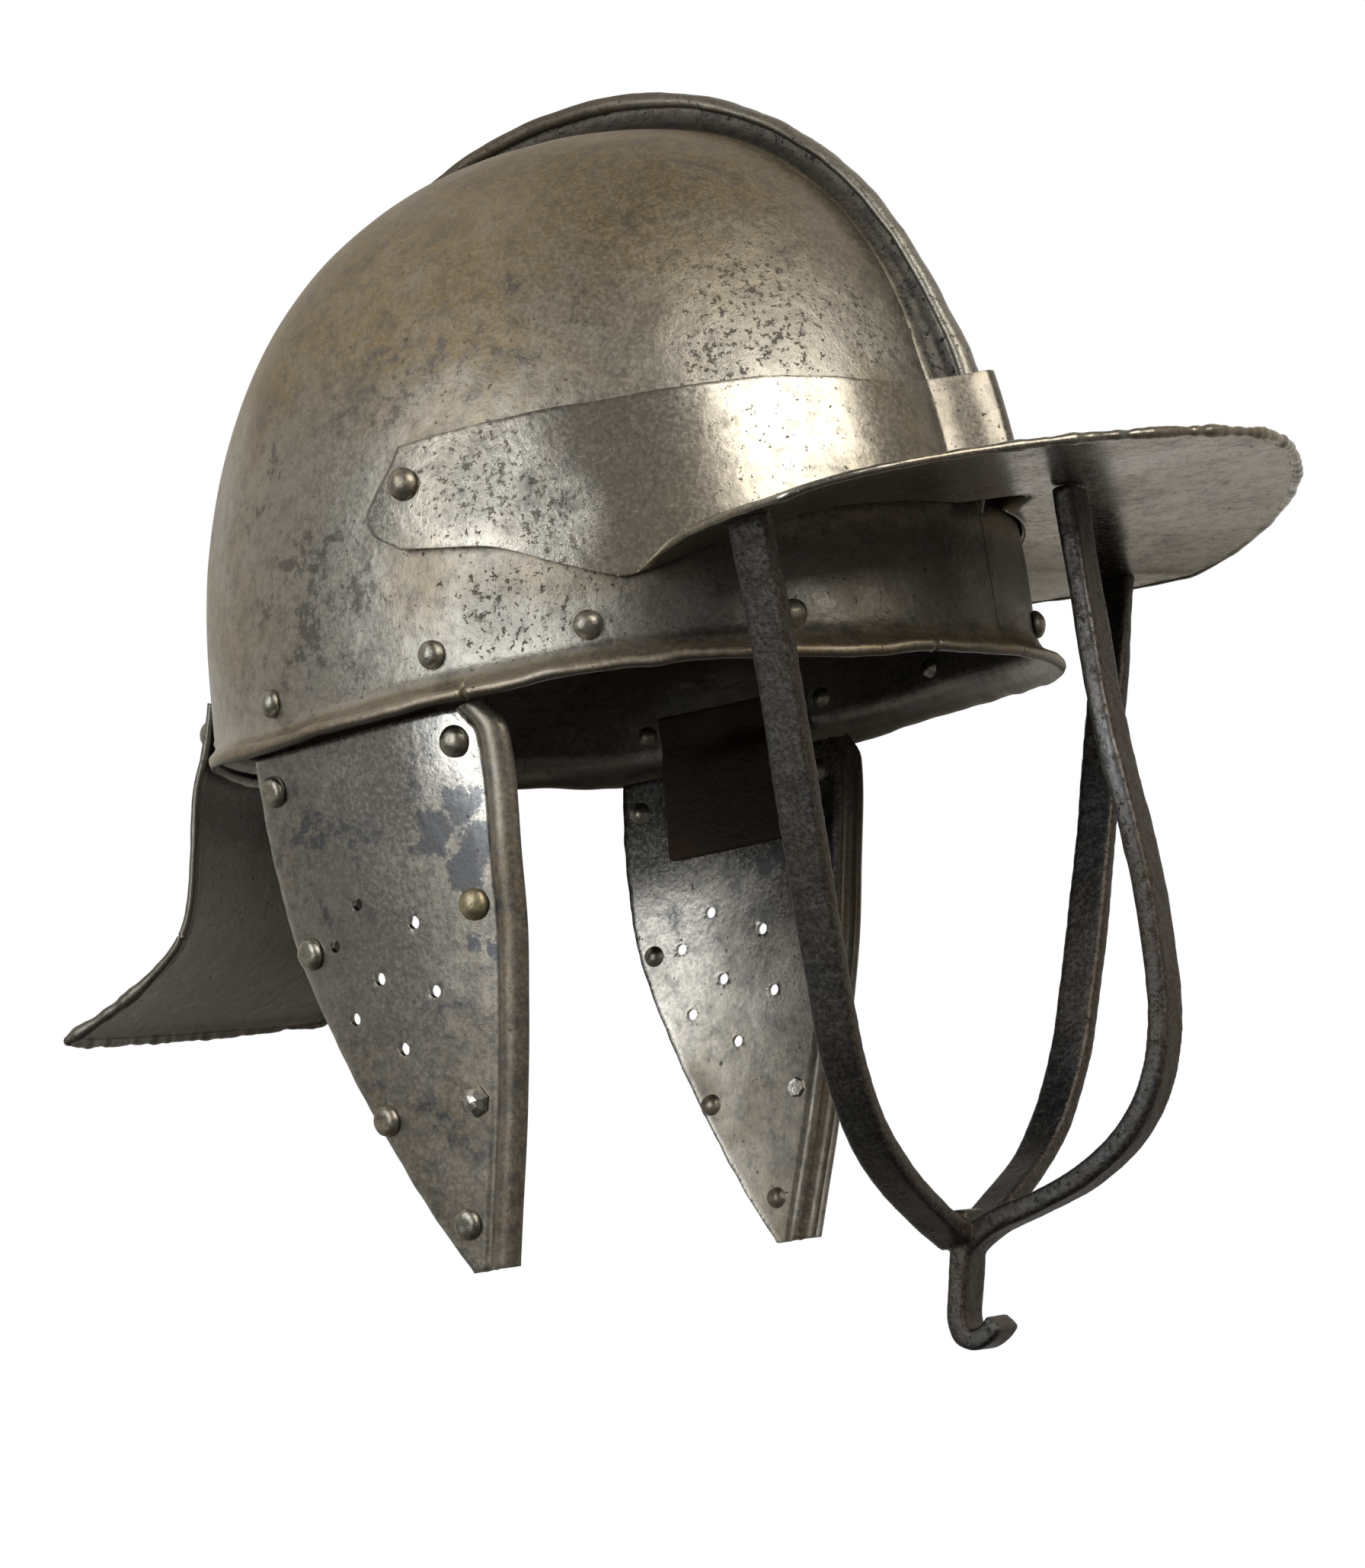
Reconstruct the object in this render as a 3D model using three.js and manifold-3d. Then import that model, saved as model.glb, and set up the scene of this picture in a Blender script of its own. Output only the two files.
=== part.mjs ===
// Three-bar pot helmet: a two-piece skull with a comb, a pivoted visor with its three-bar face guard, two
// cheek pieces and a neck guard. Millimetres, +Z up, +X the wearer's front, -Y the wearer's right.
// The origin is the middle of the rim's opening.
import * as THREE from "three";
import { mergeVertices } from "three/addons/utils/BufferGeometryUtils.js";
import Module from "manifold-3d";

const wasm = await Module();
wasm.setup();

// Sizes shared by every piece
const PLATE = 1.4;
const GAP = 0.3;
const WELD = 1e-3;
const RIGHT = -1;
const LEFT = 1;
const SIDE_NAMES = new Map([[RIGHT, "right"], [LEFT, "left"]]);

// The skull: half sizes at the rim, height of its crown, height of its upright wall, and its roundness
const SKULL = {
  halfLength: 110.8, halfWidth: 92.1, crown: 153.3, wall: 9, roundDown: 2.46, roundUp: 2.36,
  lean: 6.9, taper: 0.042, squareness: 2.1,
};
const SKULL_COLUMNS = 44;
const SKULL_ROWS = 10;

// The rim turned outwards: height, and how far each face stands out from the wall above
const RIM_OUTER = [
  { z: -0.2, out: 4.9 }, { z: 0.6, out: 6.0 }, { z: 2.2, out: 6.0 }, { z: 3.4, out: 4.4 },
  { z: 5.2, out: 1.9 }, { z: 7.4, out: 0.5 },
];
const RIM_INNER = [
  { z: 0.3, out: 3.2 }, { z: 2.4, out: 1.2 }, { z: 5.2, out: -0.7 }, { z: 7.4, out: -PLATE },
];
const RIM_FLARED_PAST = 0.7;

// The rim's line: how far it dips at the brow and rises at the nape, where along the helmet each begins
// and ends as a share of its length, the height where the line is level again, and the flare left behind
const RIM_LINE = {
  dip: 5, dipFrom: 0.4, dipTo: 1, rise: 6.5, riseFrom: 0.35, riseTo: 0.95, levelZ: 22, fade: 17,
  backFlare: 0.2, flareFrom: 0.55, flareTo: 0.9,
};

// The comb: height above the skull along its way over the crown, in degrees from the front rim
const COMB = [
  { turn: 1, height: 1.2 }, { turn: 6, height: 4.6 }, { turn: 19, height: 9 }, { turn: 30, height: 7.6 },
  { turn: 47, height: 7.7 }, { turn: 62, height: 8.2 }, { turn: 75, height: 10.4 }, { turn: 88, height: 12.8 },
  { turn: 97, height: 12 }, { turn: 108, height: 10.5 }, { turn: 125, height: 9 }, { turn: 150, height: 6.5 },
  { turn: 163, height: 3.6 }, { turn: 170, height: 1.2 },
];
const COMB_FULL_HEIGHT = 9;
const COMB_WALL = 1.7;
const COMB_FOOT = { depth: 1.2, reach: 3.5, edge: 0.25, bendReach: 1.3, bendRise: 0.8, rise: 2.4 };
const COMB_BEAD = { under: 2.4, bulge: 0.7, shoulder: 1.4, lip: 1.4, lipTop: 1.3, lipEnd: 1.2, lipDrop: 3.2 };
const COMB_STATIONS = 28;
const SEAM = 0.15;

// The visor: a band from ear to ear, turned on the pivots, with a ridge over the comb and a peak below
const PIVOT = { x: 5, z: 55.6, hole: 5.4, shank: 4.6, cutReach: 20 };
const BAND_TOP = 65.4;
const BAND_GAP = 0.6;
const EAR_STANDOFF = 0.9;
const BAND_EDGES = [
  { turn: 0, fold: 33.6 }, { turn: 9, fold: 33.6 }, { turn: 25, fold: 33 }, { turn: 34, fold: 32 },
  { turn: 48, fold: 27 }, { turn: 60, fold: 22 }, { turn: 68, fold: 27 }, { turn: 77, fold: 34.8 },
  { turn: 84, fold: 38.6 }, { turn: 94, fold: 41.5 },
];
const EAR_FROM = 55;
const EAR_FULL = 84;
const EAR_END = 94;
const EAR_END_LEFT = 0.04;
const EAR_TOP_ROUND = 11;
const EAR_FOLD_ROUND = 4.5;
const EAR_MIDDLE = 48.5;
const RIDGE = { height: 11.5, halfWidth: 13 };
const COLUMN_SPREAD = { power: 1.6, even: 0.35 };
const BAND_COLUMNS = 38;
const BAND_ROWS = 4;

// The peak: outline in plan, and the height of its edge
const PEAK = {
  start: 58.5, widestX: 117, halfWidth: 106, tip: 193.5, outline: 1.5, sideFall: 0.0373, fallPower: 1.5,
  sideZ: 24.2, tipRise: 8, risePower: 0.8, searchFrom: 60, searchTo: 220, searchSteps: 40,
};
const PEAK_COLUMNS = 30;
const PEAK_ROWS = 4;
const PEAK_CUT_HEIGHT = 30;

// The face guard: the ways of the bars' middles, and their sections
const SIDE_BAR = [
  { x: 100.6, y: 93.5, z: 32 }, { x: 99, y: 90.5, z: 20 }, { x: 96.8, y: 85, z: 0 }, { x: 91.3, y: 75, z: -40 },
  { x: 85.2, y: 63.8, z: -80 }, { x: 82, y: 56.6, z: -100 }, { x: 79.5, y: 47, z: -115 },
  { x: 77.8, y: 36, z: -125 }, { x: 75.6, y: 18, z: -135.5 }, { x: 74.6, y: 2, z: -143 },
];
const MIDDLE_BAR = [
  { x: 136, z: 40 }, { x: 136, z: 0 }, { x: 136.4, z: -27 }, { x: 139, z: -53 }, { x: 140, z: -78 },
  { x: 137.8, z: -102 }, { x: 133.4, z: -114 }, { x: 125, z: -124.5 }, { x: 112.4, z: -132.3 },
  { x: 98, z: -137 }, { x: 84, z: -140.5 }, { x: 74.5, z: -146 },
];
const HOOK = [
  { x: 77, z: -136 }, { x: 75.4, z: -146 }, { x: 73, z: -156 }, { x: 71.6, z: -162 }, { x: 72.4, z: -166.2 },
  { x: 75.4, z: -167.6 }, { x: 79, z: -166.6 }, { x: 82, z: -164 },
];
const SIDE_BAR_SECTION = { width: 10.5, thickness: 4.8, stations: 20 };
const MIDDLE_BAR_SECTION = { width: 10, thickness: 5.4, stations: 20 };
const HOOK_SECTION = { width: 10.5, thickness: 5.2, stations: 13 };
const BAR_CHAMFER = 1;

// The cheek piece: its edges by height, and its bulge, lean and rolled front edge
const CHEEK = {
  top: -2.6, bottom: -134, out: 87, lean: 0.12, middleX: -15, spanX: 45, bulge: 4, rows: 9, backColumns: 5,
  roll: 8, rollHeight: 2.6, groove: 0.5, rollMost: 0.55, holeReach: 30,
};
const CHEEK_FRONT = [
  { z: -2.6, x: 15.5 }, { z: -7, x: 18.6 }, { z: -39, x: 15 }, { z: -58, x: 12 }, { z: -96, x: 2.5 },
  { z: -134, x: -9 },
];
const CHEEK_BACK = [
  { z: -2.6, x: -58 }, { z: -21, x: -59 }, { z: -50, x: -56.8 }, { z: -73, x: -50 }, { z: -93, x: -42.4 },
  { z: -115, x: -32.4 }, { z: -134, x: -22 },
];
const ROLL_STEPS = [0, 0.1, 0.5, 0.9, 1, 1.25, 1.5];
const EAR_HOLE = 3.3;
const EAR_HOLES = [
  { x: -34, z: -40.4 }, { x: -18, z: -47.9 }, { x: -44, z: -49.1 }, { x: -31.8, z: -59.5 },
  { x: -16, z: -65.3 }, { x: -42.3, z: -67.7 }, { x: -28.9, z: -77.4 },
];
const CHEEK_RIVETS = [
  { x: 4.5, z: -7.6 }, { x: 0.5, z: -46.8 }, { x: -11, z: -93.3 }, { x: -20.6, z: -122 },
  { x: -53.6, z: -8.4 }, { x: -52.6, z: -49.7 }, { x: -38.8, z: -93.7 },
];

// The leather that a cheek piece hangs on
const STRAP = { thickness: 2, frontX: 0, backX: -44, columns: 5, clearance: 0.8 };
const STRAP_ROWS = [{ z: 17, hold: "skull" }, { z: 10.5, hold: "skull" }, { z: -5, hold: "cheek" },
  { z: -24, hold: "cheek" }];

// The neck guard: how far its middle stands out from the skull's wall, its half width, and how far
// forward its side edges come
const NECK = [
  { z: 26, out: 2.2, halfWidth: 45, bend: 13.4 }, { z: 14, out: 5, halfWidth: 46, bend: 13 },
  { z: 4, out: 7.9, halfWidth: 47, bend: 12 }, { z: -12, out: 9.4, halfWidth: 48, bend: 10.5 },
  { z: -27, out: 12, halfWidth: 49, bend: 9.5 }, { z: -35, out: 17, halfWidth: 50, bend: 9 },
  { z: -42, out: 28, halfWidth: 51, bend: 8.5 }, { z: -47.5, out: 40, halfWidth: 53, bend: 8 },
  { z: -52, out: 51, halfWidth: 55, bend: 7 },
];
const NECK_ROWS = 11;
const NECK_COLUMNS = 8;
const NECK_TWIST = { most: 2, fromZ: 4, toZ: -53 };
const NECK_ROW_SPREAD = 0.72;
const NECK_RIVETS = { z: 19, across: [-0.86, 0, 0.86] };

// Rivets: domed heads above the rim, by side and place along it, and their sizes
const RIM_RIVETS = [
  { side: RIGHT, x: -49, z: 13 }, { side: RIGHT, x: 6, z: 13 }, { side: RIGHT, x: 46, z: 12.2 },
  { side: RIGHT, x: 87, z: 7.6 }, { side: LEFT, x: 105, z: 7.2 }, { side: LEFT, x: 46, z: 12.2 },
  { side: LEFT, x: 6, z: 13 }, { side: LEFT, x: -49, z: 13 },
];
const RIM_RIVET_LIFT = 0.3;
const HOLE_SIDES = 10;
const RIVET = { radius: 3.6, height: 2.6, sides: 8, rings: 3 };
const CHEEK_RIVET = { radius: 4, height: 2.6, sides: 8, rings: 3 };
const PIVOT_HEAD = { radius: 4.1, height: 3.2, sides: 12 };
const PIVOT_END = { radius: 3.5, thickness: 1.2 };
const STEP = 0.01;

const STEEL = { color: 0x857f74, roughness: 0.42, metalness: 0.9 };
const DARK_STEEL = { color: 0x4b443d, roughness: 0.5, metalness: 0.85 };
const RIVET_STEEL = { color: 0x8d8577, roughness: 0.35, metalness: 0.9 };
const LEATHER = { color: 0x2b211a, roughness: 0.8, metalness: 0 };

// Plain helpers

function rad(degrees) {
  return THREE.MathUtils.degToRad(degrees);
}

function mix(a, b, share) {
  return a + (b - a) * share;
}

function signedPower(value, exponent) {
  return Math.sign(value) * Math.pow(Math.abs(value), exponent);
}

// A value read smoothly from a short table: the rows go by the column "key", either way
function read(rows, key, at, column) {
  const last = rows.length - 1;
  const rising = rows[last][key] > rows[0][key] ? 1 : -1;
  const place = at * rising;
  if (place <= rows[0][key] * rising) return rows[0][column];
  if (place >= rows[last][key] * rising) return rows[last][column];
  let i = 0;
  while (rows[i + 1][key] * rising < place) i += 1;
  const slope = (k) => {
    const before = rows[Math.max(k - 1, 0)];
    const after = rows[Math.min(k + 1, last)];
    return (after[column] - before[column]) / (after[key] - before[key]);
  };
  const span = rows[i + 1][key] - rows[i][key];
  const t = (at - rows[i][key]) / span;
  const rest = 1 - t;
  return rows[i][column] * (1 + 2 * t) * rest * rest + rows[i + 1][column] * t * t * (3 - 2 * t)
    + span * (slope(i) * t * rest * rest - slope(i + 1) * t * t * rest);
}

// A closed surface collected one triangle or one four-sided patch at a time
class Skin {
  constructor() {
    this.points = [];
  }

  triangle(a, b, c) {
    this.points.push(a.x, a.y, a.z, b.x, b.y, b.z, c.x, c.y, c.z);
  }

  patch(a, b, c, d) {
    this.triangle(a, b, c);
    this.triangle(a, c, d);
  }

  strip(near, far, closed) {
    const count = closed ? near.length : near.length - 1;
    for (let i = 0; i < count; i += 1) {
      const next = (i + 1) % near.length;
      this.patch(near[i], near[next], far[next], far[i]);
    }
  }

  solid() {
    const loose = new THREE.BufferGeometry();
    loose.setAttribute("position", new THREE.Float32BufferAttribute(this.points, 3));
    return solidOf(loose);
  }
}

// A geometry as a solid that can be joined and cut, with its faces turned outwards
function solidOf(geometry) {
  const bare = new THREE.BufferGeometry();
  const flat = geometry.index ? geometry.toNonIndexed() : geometry;
  bare.setAttribute("position", flat.getAttribute("position"));
  const merged = mergeVertices(bare, WELD);
  const triVerts = new Uint32Array(merged.index.array);
  const vertProperties = new Float32Array(merged.attributes.position.array);
  const make = () => new wasm.Manifold(new wasm.Mesh({ numProp: 3, vertProperties, triVerts }));
  const made = make();
  if (made.volume() > 0) return made;
  for (let i = 0; i < triVerts.length; i += 3) {
    [triVerts[i + 1], triVerts[i + 2]] = [triVerts[i + 2], triVerts[i + 1]];
  }
  return make();
}

// A plate between two grids of points of the same size
function plateSolid(outer, inner) {
  const skin = new Skin();
  const rows = outer.length - 1;
  const columns = outer[0].length - 1;
  for (let i = 0; i < rows; i += 1) {
    skin.strip(outer[i], outer[i + 1], false);
    skin.strip(inner[i + 1], inner[i], false);
  }
  skin.strip(inner[0], outer[0], false);
  skin.strip(outer[rows], inner[rows], false);
  const side = (grid, k) => grid.map((row) => row[k]);
  skin.strip(side(outer, 0), side(inner, 0), false);
  skin.strip(side(inner, columns), side(outer, columns), false);
  return skin.solid();
}

// The direction across a grid at one of its points
function gridNormal(grid, i, j) {
  const row = grid[i];
  const along = row[Math.min(j + 1, row.length - 1)].clone().sub(row[Math.max(j - 1, 0)]);
  const down = grid[Math.min(i + 1, grid.length - 1)][j].clone().sub(grid[Math.max(i - 1, 0)][j]);
  return along.cross(down).normalize();
}

// A grid moved along its own directions
function movedGrid(grid, distance) {
  const moved = (point, i, j) => point.clone().addScaledVector(gridNormal(grid, i, j), distance);
  return grid.map((row, i) => row.map((point, j) => moved(point, i, j)));
}

// A solid swept through rings of points, closed at both ends
function sweptSolid(rings, section) {
  const skin = new Skin();
  for (let i = 0; i + 1 < rings.length; i += 1) skin.strip(rings[i], rings[i + 1], true);
  const faces = THREE.ShapeUtils.triangulateShape(section, []);
  const first = rings[0];
  const last = rings[rings.length - 1];
  for (const [a, b, c] of faces) {
    skin.triangle(first[c], first[b], first[a]);
    skin.triangle(last[a], last[b], last[c]);
  }
  return skin.solid();
}

function meshOf(name, solid, finish) {
  const data = solid.getMesh();
  const geometry = new THREE.BufferGeometry();
  geometry.setAttribute("position", new THREE.BufferAttribute(data.vertProperties, 3));
  geometry.setIndex(new THREE.BufferAttribute(data.triVerts, 1));
  geometry.computeVertexNormals();
  const mesh = new THREE.Mesh(geometry, new THREE.MeshStandardMaterial(finish));
  mesh.name = name;
  return mesh;
}

// A round bar along Y, for cutting a hole
function holeAlongY(x, z, diameter, fromY, toY) {
  const round = new THREE.CylinderGeometry(diameter / 2, diameter / 2, Math.abs(toY - fromY), HOLE_SIDES);
  round.translate(x, (fromY + toY) / 2, z);
  return solidOf(round);
}

// The skull's shape

function spread(z, crown = SKULL.crown) {
  const up = THREE.MathUtils.clamp((z - SKULL.wall) / (crown - SKULL.wall), 0, 1);
  return Math.pow(1 - Math.pow(up, SKULL.roundUp), 1 / SKULL.roundDown);
}

function skullPoint(turn, z, out = 0, crown = SKULL.crown) {
  const forward = signedPower(Math.cos(turn), 2 / SKULL.squareness);
  const aside = signedPower(Math.sin(turn), 2 / SKULL.squareness);
  const share = spread(z, crown);
  const x = (SKULL.halfLength + out) * share * forward + SKULL.lean * Math.pow(Math.max(z, 0) / SKULL.crown, 2);
  const y = (SKULL.halfWidth + out) * share * aside * (1 - SKULL.taper * forward);
  return new THREE.Vector3(x, y, z);
}

function skullNormal(turn, z) {
  const along = skullPoint(turn + STEP, z).sub(skullPoint(turn - STEP, z));
  const up = skullPoint(turn, z + STEP).sub(skullPoint(turn, z - STEP));
  return along.cross(up).normalize();
}

function onSkull(turn, z, distance) {
  return skullPoint(turn, z).addScaledVector(skullNormal(turn, z), distance);
}

// The rim dips towards the brow and rises at the nape
function rimShift(turn, z) {
  const fade = THREE.MathUtils.smoothstep(RIM_LINE.levelZ - z, 0, RIM_LINE.fade);
  const forward = Math.cos(turn);
  const dip = THREE.MathUtils.smoothstep(forward, RIM_LINE.dipFrom, RIM_LINE.dipTo);
  const rise = THREE.MathUtils.smoothstep(-forward, RIM_LINE.riseFrom, RIM_LINE.riseTo);
  return fade * (RIM_LINE.rise * rise - RIM_LINE.dip * dip);
}

// The turned rim narrows to almost nothing behind the neck guard
function rimFlare(turn, out) {
  const back = THREE.MathUtils.smoothstep(-Math.cos(turn), RIM_LINE.flareFrom, RIM_LINE.flareTo);
  return -PLATE / 2 + (out + PLATE / 2) * mix(1, RIM_LINE.backFlare, back);
}

function skullRing(z, out, crown, flared = false) {
  const ring = [];
  for (let j = 0; j < SKULL_COLUMNS; j += 1) {
    const turn = (2 * Math.PI * j) / SKULL_COLUMNS;
    const point = skullPoint(turn, z, flared ? rimFlare(turn, out) : out, crown);
    point.z += rimShift(turn, z);
    ring.push(point);
  }
  return ring;
}

// Heights that follow the skull's curve evenly up to just below its crown
function wallHeights(crown) {
  const heights = [];
  for (let i = 0; i < SKULL_ROWS; i += 1) {
    const climb = Math.pow(Math.sin((Math.PI / 2) * (i / SKULL_ROWS)), 2 / SKULL.roundUp);
    heights.push(SKULL.wall + (crown - SKULL.wall) * climb);
  }
  return heights;
}

function skullShell() {
  const crownInside = SKULL.crown - PLATE;
  const flared = (row) => skullRing(row.z, row.out, SKULL.crown, row.out > RIM_FLARED_PAST);
  const outer = RIM_OUTER.map(flared);
  const inner = RIM_INNER.map(flared);
  for (const z of wallHeights(SKULL.crown)) outer.push(skullRing(z, 0));
  for (const z of wallHeights(crownInside)) inner.push(skullRing(z, -PLATE, crownInside));
  const skin = new Skin();
  for (let i = 0; i + 1 < outer.length; i += 1) skin.strip(outer[i], outer[i + 1], true);
  for (let i = 0; i + 1 < inner.length; i += 1) skin.strip(inner[i + 1], inner[i], true);
  skin.strip(inner[0], outer[0], true);
  const outerTop = new THREE.Vector3(SKULL.lean, 0, SKULL.crown);
  const innerTop = new THREE.Vector3(SKULL.lean, 0, crownInside);
  for (let j = 0; j < SKULL_COLUMNS; j += 1) {
    const next = (j + 1) % SKULL_COLUMNS;
    skin.triangle(outer[outer.length - 1][j], outer[outer.length - 1][next], outerTop);
    skin.triangle(inner[inner.length - 1][next], inner[inner.length - 1][j], innerTop);
  }
  return skin.solid();
}

// The comb's way over the crown in the middle plane: a place and the direction out of the skull
function combPlace(degrees) {
  const place = (angle) => {
    const climb = Math.pow(Math.max(Math.sin(angle), 0), 2 / SKULL.roundUp);
    const z = SKULL.wall + (SKULL.crown - SKULL.wall) * climb;
    const lean = SKULL.lean * Math.pow(z / SKULL.crown, 2);
    const x = SKULL.halfLength * signedPower(Math.cos(angle), 2 / SKULL.roundDown) + lean;
    return new THREE.Vector3(x, 0, z);
  };
  const angle = rad(degrees);
  const ahead = place(angle + STEP).sub(place(angle - STEP)).normalize();
  return { middle: place(angle), out: new THREE.Vector3(ahead.z, 0, -ahead.x) };
}

// The comb's section on one side of the seam: across is measured to that side, up from the skull
function combSection(height, folded) {
  const k = height / COMB_FULL_HEIGHT;
  const wall = SEAM + COMB_WALL * k;
  const rightTop = height - COMB_WALL * k - GAP;
  const foot = [
    [SEAM, -COMB_FOOT.depth], [wall + COMB_FOOT.reach * k, -COMB_FOOT.depth],
    [wall + COMB_FOOT.reach * k, -COMB_FOOT.edge], [wall + COMB_FOOT.bendReach * k, COMB_FOOT.bendRise * k],
    [wall, COMB_FOOT.rise * k],
  ];
  if (!folded) return [...foot, [wall, rightTop], [SEAM, rightTop]];
  const lip = -wall - GAP;
  const drop = height - COMB_BEAD.lipDrop * k;
  return [
    ...foot, [wall, height - COMB_BEAD.under * k],
    [wall + COMB_BEAD.bulge * k, height - COMB_BEAD.shoulder * k],
    [wall / 2, height], [lip, height], [lip - COMB_BEAD.lip * k, height - COMB_BEAD.lipTop * k],
    [lip - COMB_BEAD.lipEnd * k, drop], [lip, drop], [lip, rightTop + GAP], [SEAM, rightTop + GAP],
  ];
}

function combSolid(side) {
  const rings = [];
  const from = COMB[0].turn;
  const to = COMB[COMB.length - 1].turn;
  for (let i = 0; i <= COMB_STATIONS; i += 1) {
    const turn = mix(from, to, i / COMB_STATIONS);
    const { middle, out } = combPlace(turn);
    const section = combSection(read(COMB, "turn", turn, "height"), side === LEFT);
    rings.push(section.map(([across, up]) => {
      const point = middle.clone().addScaledVector(out, up);
      point.y += side * across;
      return point;
    }));
  }
  const whole = combSection(COMB_FULL_HEIGHT, side === LEFT);
  const flat = whole.map(([across, up]) => new THREE.Vector2(across, up));
  return sweptSolid(rings, flat);
}

function pivotHole(side) {
  const from = side * (SKULL.halfWidth - PIVOT.cutReach);
  const to = side * (SKULL.halfWidth + PIVOT.cutReach);
  return holeAlongY(PIVOT.x, PIVOT.z, PIVOT.hole, from, to);
}

function skullHalf(shell, side) {
  const half = shell.trimByPlane([0, side, 0], SEAM);
  return half.add(combSolid(side)).subtract(pivotHole(side));
}

// The visor

// The edges of the band at a turn from the front: both draw in at the round end of the ear
function bandEdges(turnDegrees) {
  const fold = read(BAND_EDGES, "turn", turnDegrees, "fold");
  const left = (round) => {
    const into = Math.max(0, (turnDegrees - (EAR_END - round)) / round);
    return Math.sqrt(Math.max(1 - into * into, EAR_END_LEFT));
  };
  const top = mix(EAR_MIDDLE, BAND_TOP, left(EAR_TOP_ROUND));
  return { top, fold: mix(EAR_MIDDLE, fold, left(EAR_FOLD_ROUND)) };
}

function bandPoint(turnDegrees, z) {
  const aside = Math.abs(turnDegrees);
  const ear = THREE.MathUtils.smoothstep(aside, EAR_FROM, EAR_FULL);
  const point = onSkull(rad(turnDegrees), z, BAND_GAP + PLATE / 2 + EAR_STANDOFF * ear);
  const share = Math.min(Math.abs(point.y) / RIDGE.halfWidth, 1);
  point.x += RIDGE.height * Math.pow(Math.cos((share * Math.PI) / 2), 2);
  return point;
}

// Turns spaced closer over the ridge than at the ears
function bandTurns() {
  const turns = [];
  for (let j = 0; j <= BAND_COLUMNS; j += 1) {
    const share = (2 * j) / BAND_COLUMNS - 1;
    const aside = Math.abs(share);
    const spaced = mix(Math.pow(aside, COLUMN_SPREAD.power), aside, COLUMN_SPREAD.even);
    turns.push(EAR_END * Math.sign(share) * spaced);
  }
  return turns;
}

function bandGrid() {
  const grid = [];
  const turns = bandTurns();
  for (let i = 0; i <= BAND_ROWS; i += 1) {
    grid.push(turns.map((turn) => {
      const edges = bandEdges(Math.abs(turn));
      return bandPoint(turn, mix(edges.top, edges.fold, i / BAND_ROWS));
    }));
  }
  return grid;
}

// The peak's edge in the direction of a turn from the front, found by halving along a ray in plan
function peakEdge(turnDegrees) {
  const turn = rad(Math.abs(turnDegrees));
  const outside = (radius) => {
    const x = radius * Math.cos(turn);
    const y = radius * Math.sin(turn);
    if (x > PEAK.widestX) {
      const ahead = (x - PEAK.widestX) / (PEAK.tip - PEAK.widestX);
      return Math.pow(ahead, PEAK.outline) + Math.pow(y / PEAK.halfWidth, PEAK.outline) > 1;
    }
    return y > PEAK.halfWidth - PEAK.sideFall * Math.pow(PEAK.widestX - x, PEAK.fallPower);
  };
  let near = PEAK.searchFrom;
  let far = PEAK.searchTo;
  for (let k = 0; k < PEAK.searchSteps; k += 1) {
    const half = (near + far) / 2;
    if (outside(half)) far = half;
    else near = half;
  }
  const x = near * Math.cos(turn);
  const ahead = Math.max((x - PEAK.widestX) / (PEAK.tip - PEAK.widestX), 0);
  const z = PEAK.sideZ + PEAK.tipRise * Math.pow(ahead, PEAK.risePower);
  return new THREE.Vector3(x, Math.sign(turnDegrees) * near * Math.sin(turn), z);
}

function peakGrid() {
  const grid = [];
  for (let i = 0; i <= PEAK_ROWS; i += 1) {
    const row = [];
    for (let j = 0; j <= PEAK_COLUMNS; j += 1) {
      const turn = PEAK.start * ((2 * j) / PEAK_COLUMNS - 1);
      const root = bandPoint(turn, bandEdges(Math.abs(turn)).fold + PLATE / 2);
      row.push(root.lerp(peakEdge(turn), i / PEAK_ROWS));
    }
    grid.push(row);
  }
  return grid;
}

function shiftedUp(grid, distance) {
  return grid.map((row) => row.map((point) => point.clone().setZ(point.z + distance)));
}

function visorSolid() {
  const band = bandGrid();
  const peak = peakGrid();
  const bandPlate = plateSolid(movedGrid(band, PLATE / 2), movedGrid(band, -PLATE / 2));
  const peakPlate = plateSolid(shiftedUp(peak, PLATE / 2), shiftedUp(peak, -PLATE / 2));
  let joined = bandPlate.add(peakPlate);
  for (const side of [RIGHT, LEFT]) joined = joined.subtract(pivotHole(side));
  return joined;
}

// The face guard

function chamferedSection(width, thickness) {
  const w = width / 2;
  const t = thickness / 2;
  const c = BAR_CHAMFER;
  return [
    [w, -t + c], [w, t - c], [w - c, t], [-w + c, t], [-w, t - c], [-w, -t + c], [-w + c, -t], [w - c, -t],
  ].map(([across, out]) => new THREE.Vector2(across, out));
}

// A forged bar along a smooth way, its width kept in one direction
function barSolid(way, section, widthDirection) {
  const curve = new THREE.CatmullRomCurve3(way, false, "centripetal");
  const outline = chamferedSection(section.width, section.thickness);
  const rings = [];
  for (let i = 0; i <= section.stations; i += 1) {
    const middle = curve.getPointAt(i / section.stations);
    const along = curve.getTangentAt(i / section.stations);
    const wide = widthDirection.clone().addScaledVector(along, -widthDirection.dot(along)).normalize();
    const thick = along.clone().cross(wide);
    rings.push(outline.map((p) => middle.clone().addScaledVector(wide, p.x).addScaledVector(thick, p.y)));
  }
  return sweptSolid(rings, outline);
}

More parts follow.
